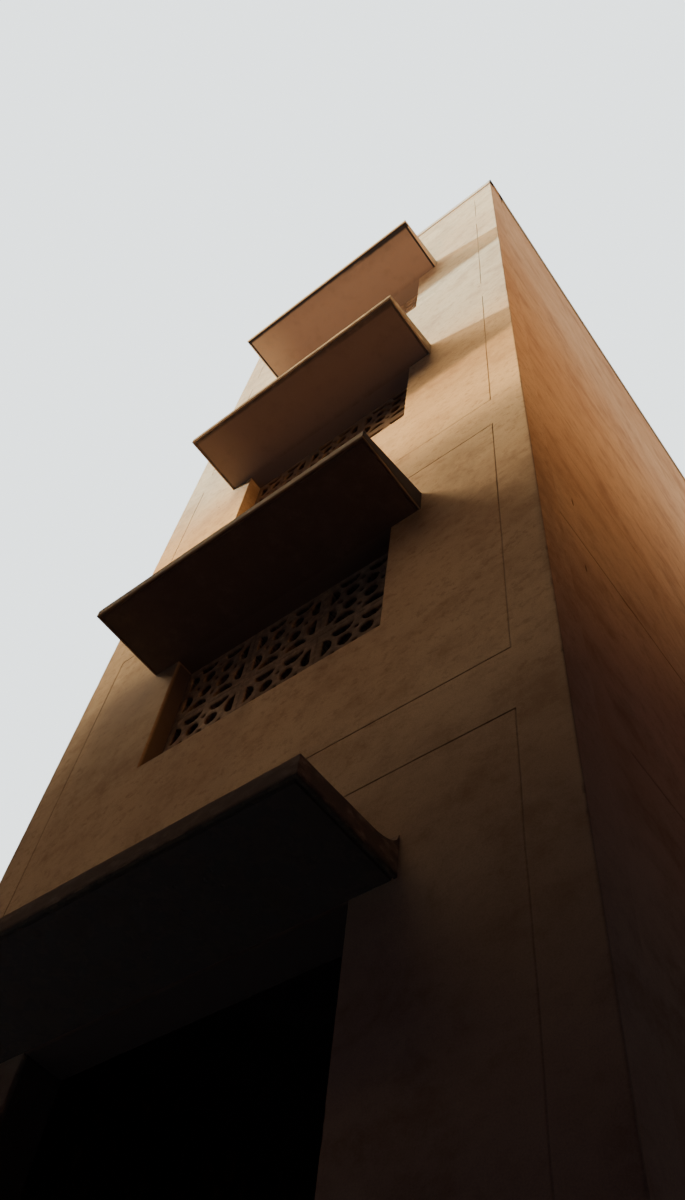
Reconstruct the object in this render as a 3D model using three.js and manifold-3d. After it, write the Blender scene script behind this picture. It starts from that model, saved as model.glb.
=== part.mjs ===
// Rectangular rendered tower: canopied screen windows above a tall open entrance.
// Millimetres, +Z up, origin at the middle of the footprint at ground level.
// +X runs to the right along the front, +Y runs from the front into the building.
import * as THREE from 'three';
import { mergeVertices } from 'three/addons/utils/BufferGeometryUtils.js';
import Module from 'manifold-3d';

const wasm = await Module();
wasm.setup();

// Body of the tower
const WIDTH = 4120;
const DEPTH = 5600;
const HEIGHT = 16800;
const WALL = 250;
const COPING_HEIGHT = 150;
const COPING_OVERHANG = 15;

// Storeys, counted from the window above the entrance
const STOREY_NAMES = ['lower', 'middle', 'upper'];
const STOREY = 3212;
const FIRST_SOFFIT = 7760;
const SLAB = 150;
const ROOF_SLAB = 180;

// Openings in the front wall
const OPENING_WIDTH = 1944;
const WINDOW_HEIGHT = 1200;
const ENTRANCE_HEAD = 4512;
const REVEAL = 140;

// Incised panel lines: one rectangle for each storey
const PANEL_HALF_WIDTH = 1800;
const PANEL_HEIGHT = 2748;
const PANEL_TOP_ABOVE_SOFFIT = 638;
const TOP_PANEL_HEIGHT = 1014;
const GROOVE_WIDTH = 12;
const GROOVE_DEPTH = 10;

// Canopies
const CANOPY_LENGTH = 2432;
const CANOPY_REACH = 635;
const CANOPY_EDGE = 82;
const CANOPY_ROOT = 240;
const ENTRANCE_CANOPY_EDGE = 124;
const ENTRANCE_CANOPY_FLAT_RISE = 12;
const COVE_DEPTH = 180;
const COVE_STEPS = 6;

// Cast screen blocks
const COLUMNS = ['left', 'middle', 'right'];
const ROWS = ['bottom', 'top'];
const BLOCK_THICKNESS = 80;
const BLOCK_RIM = 48;
const ROUND_HOLE_RADIUS = 56;
const ROUND_HOLE_OFFSET = 85;
const ROUND_HOLE_SIDES = 8;
const FAN_OFFSET = 121;
const FAN_HALF_WIDTH = 87;
const FAN_DEPTH = 80;
const FAN_STEPS = 4;

// Finishes
const WALL_RENDER = { color: 0xd3c5b0, roughness: 0.95, metalness: 0 };
const PAINTED_CONCRETE = { color: 0xcdb99f, roughness: 0.92, metalness: 0 };
const SCREEN_CEMENT = { color: 0xb59f8a, roughness: 0.93, metalness: 0 };
const COPING_CEMENT = { color: 0xc9bba8, roughness: 0.9, metalness: 0 };
const BARE_CONCRETE = { color: 0x9c9488, roughness: 0.9, metalness: 0 };

// Sizes worked out from the driving dimensions
const halfWidth = WIDTH / 2;
const halfDepth = DEPTH / 2;
const innerWidth = halfWidth - WALL;
const innerDepth = halfDepth - WALL;
const halfOpening = OPENING_WIDTH / 2;
const wallTop = HEIGHT - COPING_HEIGHT;
const panelGap = STOREY - PANEL_HEIGHT;
const soffits = STOREY_NAMES.map((_, storey) => FIRST_SOFFIT + storey * STOREY);
const panelTops = soffits.map((soffit) => soffit + PANEL_TOP_ABOVE_SOFFIT);
const floorTops = panelTops.map((top) => top - PANEL_HEIGHT);
const roofTop = panelTops.at(-1) + panelGap;
const blockWidth = OPENING_WIDTH / COLUMNS.length;
const blockHeight = WINDOW_HEIGHT / ROWS.length;

const tower = new THREE.Group();

// A mesh with a material of its own, placed in a group
function addPiece(group, name, geometry, finish) {
  const piece = new THREE.Mesh(geometry, new THREE.MeshStandardMaterial(finish));
  piece.name = name;
  group.add(piece);
  return piece;
}

// A box between two opposite corners, with its place in its own vertices
function boxBetween(low, high) {
  const size = high.map((value, axis) => value - low[axis]);
  const box = new THREE.BoxGeometry(size[0], size[1], size[2]);
  box.translate(low[0] + size[0] / 2, low[1] + size[1] / 2, low[2] + size[2] / 2);
  return box;
}

// A closed geometry as a solid that can be cut
function toSolid(geometry) {
  const bare = geometry.clone();
  bare.deleteAttribute('normal');
  bare.deleteAttribute('uv');
  const merged = mergeVertices(bare);
  const vertProperties = new Float32Array(merged.attributes.position.array);
  const triVerts = new Uint32Array(merged.index.array);
  return new wasm.Manifold(new wasm.Mesh({ numProp: 3, vertProperties, triVerts }));
}

function toGeometry(solid) {
  const mesh = solid.getMesh();
  const geometry = new THREE.BufferGeometry();
  geometry.setAttribute('position', new THREE.BufferAttribute(mesh.vertProperties, 3));
  geometry.setIndex(new THREE.BufferAttribute(mesh.triVerts, 1));
  return geometry;
}

// The four cuts of one panel rectangle in the face at y = faceY
function panelCuts(faceY, bottom, top) {
  const half = GROOVE_WIDTH / 2;
  const left = -PANEL_HALF_WIDTH;
  const right = PANEL_HALF_WIDTH;
  const nearY = faceY - GROOVE_DEPTH;
  const farY = faceY + GROOVE_DEPTH;
  const cut = (x0, x1, z0, z1) => boxBetween([x0, nearY, z0], [x1, farY, z1]);
  return [
    cut(left - half, left + half, bottom - half, top + half),
    cut(right - half, right + half, bottom - half, top + half),
    cut(left - half, right + half, bottom - half, bottom + half),
    cut(left - half, right + half, top - half, top + half),
  ];
}

// Every panel line of one face; the lowest panel runs out at the ground
function faceCuts(faceY) {
  const entrancePanel = panelCuts(faceY, -GROOVE_WIDTH, floorTops[0] - panelGap);
  const windowPanels = panelTops.flatMap((top, i) => panelCuts(faceY, floorTops[i], top));
  const topPanel = panelCuts(faceY, roofTop, roofTop + TOP_PANEL_HEIGHT);
  return [...entrancePanel, ...windowPanels, ...topPanel];
}

// A wall slab with the panel lines that cross it
function addGroovedWall(name, low, high, cuts) {
  let solid = toSolid(boxBetween(low, high));
  for (const cut of cuts) {
    solid = solid.subtract(toSolid(cut));
  }
  addPiece(tower, name, toGeometry(solid), WALL_RENDER);
}

function addWalls() {
  const frontCuts = faceCuts(-halfDepth);
  const front = (name, x0, x1, z0, z1) => {
    addGroovedWall(name, [x0, -halfDepth, z0], [x1, -innerDepth, z1], frontCuts);
  };
  front('front_left_pier', -halfWidth, -halfOpening, 0, wallTop);
  front('front_right_pier', halfOpening, halfWidth, 0, wallTop);
  const heads = [ENTRANCE_HEAD, ...soffits];
  const sills = [...soffits.map((soffit) => soffit - WINDOW_HEIGHT), wallTop];
  const names = ['over_entrance', 'over_lower_window', 'over_middle_window', 'over_upper_window'];
  names.forEach((name, i) => {
    front(`front_wall_${name}`, -halfOpening, halfOpening, heads[i], sills[i]);
  });
  const rearCuts = faceCuts(halfDepth);
  addGroovedWall('rear_wall', [-halfWidth, innerDepth, 0], [halfWidth, halfDepth, wallTop], rearCuts);
  addGroovedWall('left_wall', [-halfWidth, -innerDepth, 0], [-innerWidth, innerDepth, wallTop], []);
  addGroovedWall('right_wall', [innerWidth, -innerDepth, 0], [halfWidth, innerDepth, wallTop], []);
}

function addSlab(name, low, high) {
  addPiece(tower, name, boxBetween(low, high), BARE_CONCRETE);
}

// Floors between the walls, each with its top at the foot of its storey's panel
function addFloors() {
  const room = (name, bottom, top) => {
    addSlab(name, [-innerWidth, -innerDepth, bottom], [innerWidth, innerDepth, top]);
  };
  room('ground_floor_slab', 0, SLAB);
  addSlab('entrance_threshold', [-halfOpening, -halfDepth, 0], [halfOpening, -innerDepth, SLAB]);
  floorTops.forEach((top, i) => room(`${STOREY_NAMES[i]}_window_floor_slab`, top - SLAB, top));
  room('roof_slab', roofTop - ROOF_SLAB, roofTop);
}

// Coping stones: front and rear run the full width, the sides fit between them
function addCoping() {
  const x = halfWidth + COPING_OVERHANG;
  const y = halfDepth + COPING_OVERHANG;
  const xIn = innerWidth - COPING_OVERHANG;
  const yIn = innerDepth - COPING_OVERHANG;
  const stone = (name, x0, y0, x1, y1) => {
    addPiece(tower, name, boxBetween([x0, y0, wallTop], [x1, y1, HEIGHT]), COPING_CEMENT);
  };
  stone('front_coping', -x, -y, x, -yIn);
  stone('rear_coping', -x, yIn, x, y);
  stone('left_coping', -x, -yIn, -xIn, yIn);
  stone('right_coping', xIn, -yIn, x, yIn);
}

// A canopy from its side profile: u is the reach from the wall, v the height over the soffit
function canopyGeometry(profile) {
  const shape = new THREE.Shape(profile.map(([u, v]) => new THREE.Vector2(-u, v)));
  const settings = { depth: CANOPY_LENGTH, bevelEnabled: false };
  const geometry = new THREE.ExtrudeGeometry(shape, settings);
  geometry.rotateX(Math.PI / 2);
  geometry.rotateZ(Math.PI / 2);
  geometry.translate(-CANOPY_LENGTH / 2, 0, 0);
  return geometry;
}

// Window canopies slope up to the wall in one straight line
function windowCanopyProfile() {
  return [[0, 0], [CANOPY_REACH, 0], [CANOPY_REACH, CANOPY_EDGE], [0, CANOPY_ROOT]];
}

// The entrance canopy is a thick slab with a hollow cove against the wall
function entranceCanopyProfile() {
  const profile = [[0, 0], [CANOPY_REACH, 0], [CANOPY_REACH, ENTRANCE_CANOPY_EDGE]];
  const coveFoot = ENTRANCE_CANOPY_EDGE + ENTRANCE_CANOPY_FLAT_RISE;
  for (let step = 0; step <= COVE_STEPS; step += 1) {
    const angle = (step / COVE_STEPS) * (Math.PI / 2);
    const reach = COVE_DEPTH * (1 - Math.sin(angle));
    const rise = (CANOPY_ROOT - coveFoot) * (1 - Math.cos(angle));
    profile.push([reach, coveFoot + rise]);
  }
  return profile;
}

function addCanopies() {
  const place = (name, profile, soffit) => {
    const canopy = addPiece(tower, name, canopyGeometry(profile), PAINTED_CONCRETE);
    canopy.position.set(0, -halfDepth, soffit);
  };
  place('entrance_canopy', entranceCanopyProfile(), ENTRANCE_HEAD);
  soffits.forEach((soffit, i) => {
    place(`${STOREY_NAMES[i]}_window_canopy`, windowCanopyProfile(), soffit);
  });
}

// A round hole as a polygon with flats facing up, down and sideways
function roundHole(x, y) {
  const points = [];
  for (let side = 0; side < ROUND_HOLE_SIDES; side += 1) {
    const angle = ((side + 0.5) / ROUND_HOLE_SIDES) * 2 * Math.PI;
    const reach = ROUND_HOLE_RADIUS;
    points.push(new THREE.Vector2(x + reach * Math.cos(angle), y + reach * Math.sin(angle)));
  }
  return points;
}

// A half lens whose straight side lies on the rim; turn is the edge that it belongs to
function fanHole(turn, along, edge) {
  const points = [];
  for (let step = 0; step <= FAN_STEPS; step += 1) {
    const angle = (step / FAN_STEPS) * Math.PI;
    const side = along + FAN_HALF_WIDTH * Math.cos(angle);
    const depth = edge - FAN_DEPTH * Math.sin(angle);
    points.push(new THREE.Vector2(side, depth).rotateAround(new THREE.Vector2(), turn));
  }
  return points;
}

// The outlines of every hole of a block: four round ones and two half lenses on each edge
function holeOutlines() {
  const outlines = [];
  for (const sideX of [-1, 1]) {
    for (const sideY of [-1, 1]) {
      outlines.push(roundHole(sideX * ROUND_HOLE_OFFSET, sideY * ROUND_HOLE_OFFSET));
    }
  }
  for (let edge = 0; edge < 4; edge += 1) {
    const reach = (edge % 2 === 0 ? blockHeight : blockWidth) / 2 - BLOCK_RIM;
    for (const side of [-1, 1]) {
      outlines.push(fanHole((edge * Math.PI) / 2, side * FAN_OFFSET, reach));
    }
  }
  return outlines;
}

// One cast block, centred in x and z, with its back at y = 0
function blockGeometry() {
  const x = blockWidth / 2;
  const z = blockHeight / 2;
  let solid = toSolid(boxBetween([-x, -BLOCK_THICKNESS, -z], [x, 0, z]));
  const settings = { depth: 3 * BLOCK_THICKNESS, bevelEnabled: false };
  for (const outline of holeOutlines()) {
    const cutter = new THREE.ExtrudeGeometry(new THREE.Shape(outline), settings);
    cutter.rotateX(Math.PI / 2);
    cutter.translate(0, BLOCK_THICKNESS, 0);
    solid = solid.subtract(toSolid(cutter));
  }
  return toGeometry(solid);
}

// Two rows of three blocks fill each window, set back behind the reveal
function addScreens() {
  const block = blockGeometry();
  soffits.forEach((soffit, storey) => {
    const screen = new THREE.Group();
    screen.position.set(0, -halfDepth + REVEAL + BLOCK_THICKNESS, soffit - WINDOW_HEIGHT);
    ROWS.forEach((row, rowIndex) => {
      COLUMNS.forEach((column, columnIndex) => {
        const name = `${STOREY_NAMES[storey]}_screen_${row}_${column}`;
        const piece = addPiece(screen, name, block, SCREEN_CEMENT);
        const pieceX = (columnIndex + 0.5) * blockWidth - halfOpening;
        piece.position.set(pieceX, 0, (rowIndex + 0.5) * blockHeight);
      });
    });
    tower.add(screen);
  });
}

addWalls();
addFloors();
addCoping();
addCanopies();
addScreens();

export default tower;
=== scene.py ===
"""Looks of a rectangular rendered tower: canopied screen windows over a tall open entrance.

Every visible piece is a closed surface worked out as whole arrays on a grid of two parameters.
Metres, +Z up, +X to the right along the front, +Y from the front into the building.
"""
import logging
import math
from dataclasses import dataclass, field
from enum import Enum
from typing import Callable, Iterable, Sequence

import bpy
import numpy as np
from mathutils import Matrix, Vector


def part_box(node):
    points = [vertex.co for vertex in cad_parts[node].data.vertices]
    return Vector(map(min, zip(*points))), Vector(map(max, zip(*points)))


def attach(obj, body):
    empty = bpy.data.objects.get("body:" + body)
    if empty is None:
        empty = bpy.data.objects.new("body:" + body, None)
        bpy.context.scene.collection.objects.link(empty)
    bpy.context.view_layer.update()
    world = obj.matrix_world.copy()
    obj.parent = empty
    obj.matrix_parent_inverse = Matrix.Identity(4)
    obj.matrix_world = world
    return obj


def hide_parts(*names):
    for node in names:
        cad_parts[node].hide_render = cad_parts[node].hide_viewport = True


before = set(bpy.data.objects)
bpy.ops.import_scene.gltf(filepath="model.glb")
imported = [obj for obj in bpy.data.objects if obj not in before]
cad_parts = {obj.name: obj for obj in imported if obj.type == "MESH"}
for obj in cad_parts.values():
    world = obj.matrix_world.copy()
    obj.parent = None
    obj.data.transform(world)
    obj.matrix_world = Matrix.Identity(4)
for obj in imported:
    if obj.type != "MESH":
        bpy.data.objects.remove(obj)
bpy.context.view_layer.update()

LOG = logging.getLogger("tower")
Points = np.ndarray
Colour = tuple[float, float, float]
Socket = bpy.types.NodeSocket
UP = np.array([0.0, 0.0, 1.0])
STOREYS = ("lower", "middle", "upper")


# Shared arithmetic

def smooth_step(value: np.ndarray, low: float, high: float) -> np.ndarray:
    """Rises from 0 at low to 1 at high along 3t^2 - 2t^3.

    Args:
        value: the numbers to shape.
        low: where the rise starts.
        high: where the rise ends; it may be below low for a fall.

    Returns:
        The shaped numbers, from 0 to 1.
    """
    share = np.clip((value - low) / (high - low), 0.0, 1.0)
    return share * share * (3.0 - 2.0 * share)


def hump(value: np.ndarray, centre: float, reach: float) -> np.ndarray:
    """A bell of height 1 at centre that is down to about a third at reach."""
    return np.exp(-(((value - centre) / reach) ** 2))


@dataclass(frozen=True)
class Fade:
    """Something that falls off as strength * e^(-distance / reach), with the reach in metres."""

    strength: float
    reach: float

    def at(self, distance: np.ndarray) -> np.ndarray:
        """What is left at a distance; it is whole where the distance is below 0."""
        return self.strength * np.exp(-np.maximum(distance, 0.0) / self.reach)


def highest(base: np.ndarray, layers: Iterable[np.ndarray]) -> np.ndarray:
    """The highest of several layers of base's shape at each point, or 0 if none is above it."""
    return np.max([np.zeros_like(base), *layers], axis=0)


def box_of(node: str) -> tuple[Points, Points]:
    """Lowest and highest corner of one of the model's nodes."""
    low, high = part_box(node)
    return np.array(low), np.array(high)


def edge_distance(points: Points, low: Points, high: Points) -> np.ndarray:
    """Level distance from the free edges of a slab that grows out of the wall behind it."""
    x, y = points[..., 0], points[..., 1]
    return np.minimum(np.minimum(x - low[0], high[0] - x), y - low[1])


def grid_lines(low: float, high: float, step: float,
               features: Sequence[np.ndarray] = ()) -> np.ndarray:
    """Positions of grid lines that hold every feature line and leave no gap wider than step.

    Args:
        low: first line.
        high: last line.
        step: widest gap allowed.
        features: groups of positions that must each have a line of their own.

    Returns:
        The sorted positions.
    """
    ends = np.array([low, high])
    wanted = np.concatenate([ends, *[np.atleast_1d(group) for group in features]])
    wanted = np.unique(np.round(wanted[(wanted >= low - 1e-9) & (wanted <= high + 1e-9)], 6))
    gaps = np.diff(wanted)
    counts = np.maximum(1, np.ceil(gaps / step - 1e-6)).astype(int)
    runs = [start + gap * np.arange(count) / count
            for start, gap, count in zip(wanted, gaps, counts)]
    return np.concatenate([*runs, wanted[-1:]])


@dataclass(frozen=True)
class Relief:
    """Smooth random relief in space.

    The corners of a lattice are hashed to values from -1 to 1 and blended with 3t^2 - 2t^3 along
    each axis. Every next octave has half the cell and half the height of the one before.
    """

    seed: int
    cell: tuple[float, float, float]
    octaves: int = 3

    def corner_values(self, corner: np.ndarray, octave: int) -> np.ndarray:
        """Hashes whole lattice corners to values from -1 to 1.

        Args:
            corner: whole lattice places, with x, y and z on the last axis.
            octave: number of the octave, from 0.

        Returns:
            One value a corner.
        """
        whole = corner.astype(np.int64).astype(np.uint64)
        mixed = whole[..., 0] * np.uint64(374761393) + whole[..., 1] * np.uint64(668265263)
        mixed = mixed + whole[..., 2] * np.uint64(2246822519)
        mixed = mixed + np.uint64(self.seed * 97 + octave * 1013)
        mixed = (mixed ^ (mixed >> np.uint64(15))) * np.uint64(2654435761)
        mixed = (mixed ^ (mixed >> np.uint64(13))) * np.uint64(3266489917)
        mixed = mixed ^ (mixed >> np.uint64(16))
        return (mixed & np.uint64(0xFFFF)).astype(float) / 32767.5 - 1.0

    def at(self, points: Points) -> np.ndarray:
        """The relief at points.

        Args:
            points: an array whose last axis holds x, y and z in metres.

        Returns:
            One value a point, mostly from -1 to 1.
        """
        total = np.zeros(points.shape[:-1])
        height = 1.0
        for octave in range(self.octaves):
            scaled = points / np.array(self.cell) * 2.0**octave + 13.7 * (octave + 1)
            base = np.floor(scaled)
            share = scaled - base
            share = share * share * (3.0 - 2.0 * share)
            for number in range(8):
                step = np.array([number & 1, number >> 1 & 1, number >> 2 & 1])
                weight = np.prod(np.where(step == 1, share, 1.0 - share), axis=-1)
                total += height * weight * self.corner_values(base + step, octave)
            height *= 0.5
        return total / (2.0 - 2.0 * height)


def line_relief(seed: int, cell: float, along: np.ndarray, octaves: int = 3) -> np.ndarray:
    """Relief along one line: the same hashed blend with only one moving coordinate."""
    points = np.stack([along, np.zeros_like(along), np.zeros_like(along)], axis=-1)
    return Relief(seed, (cell, 1.0, 1.0), octaves).at(points)


# Mesh making

@dataclass
class Plate:
    """A closed plate between an outer and an inner sheet of points on one grid.

    The sheets share u and v lines. A cell whose keep value is false is a hole. Where a kept cell
    borders a hole or the rim, bands of wall faces join the two sheets, at the shares of the depth
    that bands gives. The inner sheet has one polygon for each unbroken row of cells.

    Args:
        outer: points of the outer sheet, shaped (u lines, v lines, 3), with u x v pointing out.
        inner: points of the inner sheet, shaped as outer.
        keep: which cells are solid, shaped (u lines - 1, v lines - 1).
        bands: shares of the depth at which the walls have a line of points.
        inset: sideways shift that is already in outer.
        plain_inner: true where the inner sheet is flat enough for one polygon a row.
        marks: numbers for each point of the outer sheet, which are 0 on all other points.
        inset_reach: share of the depth over which inset fades out.
    """

    outer: Points
    inner: Points
    keep: np.ndarray
    bands: tuple[float, ...] = ()
    inset: Points | None = None
    plain_inner: bool = True
    marks: dict[str, np.ndarray] = field(default_factory=dict)
    inset_reach: float = 1.0 / 9.0

    def layers(self) -> Points:
        """Points of every layer from the outer to the inner sheet.

        Returns:
            The points, shaped (layers, u lines, v lines, 3).
        """
        inset = np.zeros_like(self.outer) if self.inset is None else self.inset
        start = self.outer - inset
        made = []
        for share in self.bands:
            left = max(0.0, 1.0 - share / self.inset_reach)
            made.append(start + (self.inner - start) * share + inset * left)
        return np.stack([self.outer, *made, self.inner])

    def wall_quads(self) -> np.ndarray:
        """Quads of the walls, as (layer, u, v) index triples flattened to point numbers.

        Returns:
            Four point numbers a quad, counted through all the layers.
        """
        nu, nv = self.outer.shape[:2]
        solid = np.pad(self.keep, 1)
        before, after = solid[:-1, 1:-1], solid[1:, 1:-1]
        below, above = solid[1:-1, :-1], solid[1:-1, 1:]
        edges = []
        for mask, across in ((before & ~after, False), (below & ~above, True)):
            edges.append(self.edge_ends(mask, across, False))
        for mask, across in ((~before & after, False), (~below & above, True)):
            edges.append(self.edge_ends(mask, across, True))
        ends = np.concatenate(edges)
        first, second = ends[:, 0], ends[:, 1]
        layer_size = nu * nv
        quads = []
        for layer in range(len(self.bands) + 1):
            near, far = layer * layer_size, (layer + 1) * layer_size
            quads.append(np.stack([first + near, first + far, second + far, second + near], axis=1))
        return np.concatenate(quads)

    def edge_ends(self, mask: np.ndarray, across: bool, turned: bool) -> np.ndarray:
        """Point numbers of both ends of each marked edge, ordered so that its wall faces out.

        Args:
            mask: the marked edges, by their place on the grid.
            across: true for edges along u.
            turned: true where the kept cell comes after the edge.

        Returns:
            Two point numbers an edge, within one sheet.
        """
        nv = self.outer.shape[1]
        i, j = np.nonzero(mask)
        start = i * nv + j
        end = start + (nv if across else 1)
        if across:
            start, end = end, start
        return np.stack([end, start] if turned else [start, end], axis=1)

    def sheet_quads(self) -> np.ndarray:
        """Quads of the outer sheet.

        Returns:
            Four point numbers a quad.
        """
        nv = self.outer.shape[1]
        i, j = np.nonzero(self.keep)
        corner = i * nv + j
        return np.stack([corner, corner + nv, corner + nv + 1, corner + 1], axis=1)

    def inner_rows(self, wall_points: np.ndarray) -> list[np.ndarray]:
        """Polygons of the inner sheet: one for each unbroken row of kept cells along u.

        Args:
            wall_points: true for each grid point that a wall face uses.

        Returns:
            Point numbers of each polygon, within one sheet.
        """
        nu, nv = self.outer.shape[:2]
        solid = np.pad(self.keep, ((1, 1), (0, 0)))
        starts_j, starts_i = np.nonzero((solid[1:-1] & ~solid[:-2]).T)
        ends_j, ends_i = np.nonzero((solid[1:-1] & ~solid[2:]).T)
        rows = []
        for j, first, last in zip(starts_j, starts_i, ends_i + 1):
            line = np.arange(first, last + 1)
            ends = (line == first) | (line == last)
            low = line[ends | wall_points[line, j]]
            high = line[ends | wall_points[line, j + 1]]
            rows.append(np.concatenate([low * nv + j, (high * nv + j + 1)[::-1]])[::-1])
        return rows

    def mesh(self, name: str) -> bpy.types.Mesh:
        """Puts the faces and the used points into a new mesh.

        Args:
            name: name of the new mesh.

        Returns:
            The mesh, with its marks.
        """
        nu, nv = self.outer.shape[:2]
        points = self.layers().reshape(-1, 3)
        last = (len(self.bands) + 1) * nu * nv
        walls = self.wall_quads()
        outer = self.sheet_quads()
        if self.plain_inner:
            used = np.zeros(nu * nv, bool)
            used[np.unique(walls) % (nu * nv)] = True
            inner = [row + last for row in self.inner_rows(used.reshape(nu, nv))]
        else:
            inner = [outer[:, ::-1].ravel() + last]
        loops = np.concatenate([outer.ravel(), walls.ravel(), *inner])
        inner_sizes = [len(row) for row in inner] if self.plain_inner else [4] * len(outer)
        sizes = np.concatenate([np.full(len(outer) + len(walls), 4), np.array(inner_sizes)])
        kept, loops = np.unique(loops, return_inverse=True)
        mesh = fill_mesh(name, points[kept], loops.ravel(), sizes)
        for mark, values in self.marks.items():
            spread = np.zeros(len(points))
            spread[:nu * nv] = values.ravel()
            add_marks(mesh, **{mark: spread[kept]})
        return mesh


SHARP_FROM = math.radians(48.0)


def fill_mesh(name: str, points: Points, loops: np.ndarray, sizes: np.ndarray) -> bpy.types.Mesh:
    """Makes a mesh from points, the point numbers round each face and the face sizes.

    Args:
        name: name of the new mesh.
        points: one row a point.
        loops: point numbers of all faces, one face after another.
        sizes: number of points of each face.

    Returns:
        The mesh, smooth shaded with sharp edges where faces meet at more than SHARP_FROM.
    """
    mesh = bpy.data.meshes.new(name)
    mesh.vertices.add(len(points))
    mesh.vertices.foreach_set("co", points.astype(np.float32).ravel())
    mesh.loops.add(len(loops))
    mesh.loops.foreach_set("vertex_index", loops.astype(np.int32))
    mesh.polygons.add(len(sizes))
    starts = np.concatenate([[0], np.cumsum(sizes)[:-1]])
    mesh.polygons.foreach_set("loop_start", starts.astype(np.int32))
    mesh.update(calc_edges=True)
    mesh.validate()
    mesh.shade_smooth()
    mesh.set_sharp_from_angle(angle=SHARP_FROM)
    return mesh


def mesh_points(mesh: bpy.types.Mesh) -> Points:
    """The points of a mesh as an array.

    Args:
        mesh: the mesh.

    Returns:
        One row a point.
    """
    flat = np.empty(len(mesh.vertices) * 3, np.float32)
    mesh.vertices.foreach_get("co", flat)
    return flat.reshape(-1, 3).astype(float)


def add_marks(mesh: bpy.types.Mesh, **marks: np.ndarray) -> None:
    """Stores one number a point under each name, for the finishes to read.

    Args:
        mesh: the mesh.
        marks: the numbers, by the name that they go under.
    """
    for name, values in marks.items():
        layer = mesh.attributes.new(name, "FLOAT", "POINT")
        layer.data.foreach_set("value", np.clip(values, 0.0, 1.0).astype(np.float32))


def place_piece(mesh: bpy.types.Mesh, finish: bpy.types.Material,
                nodes: Sequence[str]) -> bpy.types.Object:
    """Adds a finished mesh to the scene as a piece of the tower.

    Args:
        mesh: the mesh, already where it belongs.
        finish: its material.
        nodes: the model's nodes that it stands for.

    Returns:
        The new object.
    """
    piece = bpy.data.objects.new(mesh.name, mesh)
    bpy.context.scene.collection.objects.link(piece)
    mesh.materials.append(finish)
    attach(piece, "root")
    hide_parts(*nodes)
    LOG.info("%s: %d faces for %s", mesh.name, len(mesh.polygons), ", ".join(nodes))
    return piece


# Finishes

EVEN: Colour = (1.0, 1.0, 1.0)


class NodeTree:
    """A node tree, with short ways to add nodes and links."""

    def __init__(self, tree: bpy.types.NodeTree) -> None:
        """Takes over a tree."""
        self.tree = tree

    def feed(self, socket: Socket, value: object) -> None:
        """Links a socket to an input, or sets a constant on it.

        Args:
            socket: the input.
            value: a socket, a number, a colour as a tuple or a vector as a list.
        """
        if isinstance(value, Socket):
            self.tree.links.new(value, socket)
        elif isinstance(value, tuple):
            socket.default_value = (*value, 1.0)
        else:
            socket.default_value = value

    def node(self, kind: str, **values: object) -> bpy.types.Node:
        """Adds a node.

        Args:
            kind: its type, without the ShaderNode that all types start with.
            values: sockets or constants for its inputs, with _ for the spaces in their names.

        Returns:
            The new node.
        """
        node = self.tree.nodes.new(f"ShaderNode{kind}")
        for name, value in values.items():
            self.feed(node.inputs[name.replace("_", " ")], value)
        return node

    def mix(self, share: object, first: object, second: object) -> Socket:
        """Blends two colours by a share.

        Args:
            share: share of the second colour.
            first: the first colour.
            second: the second colour.

        Returns:
            The blended colour.
        """
        node = self.node("Mix")
        node.data_type = "RGBA"
        self.feed(node.inputs["Factor"], share)
        self.feed(node.inputs[6], first)
        self.feed(node.inputs[7], second)
        return node.outputs[2]


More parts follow.
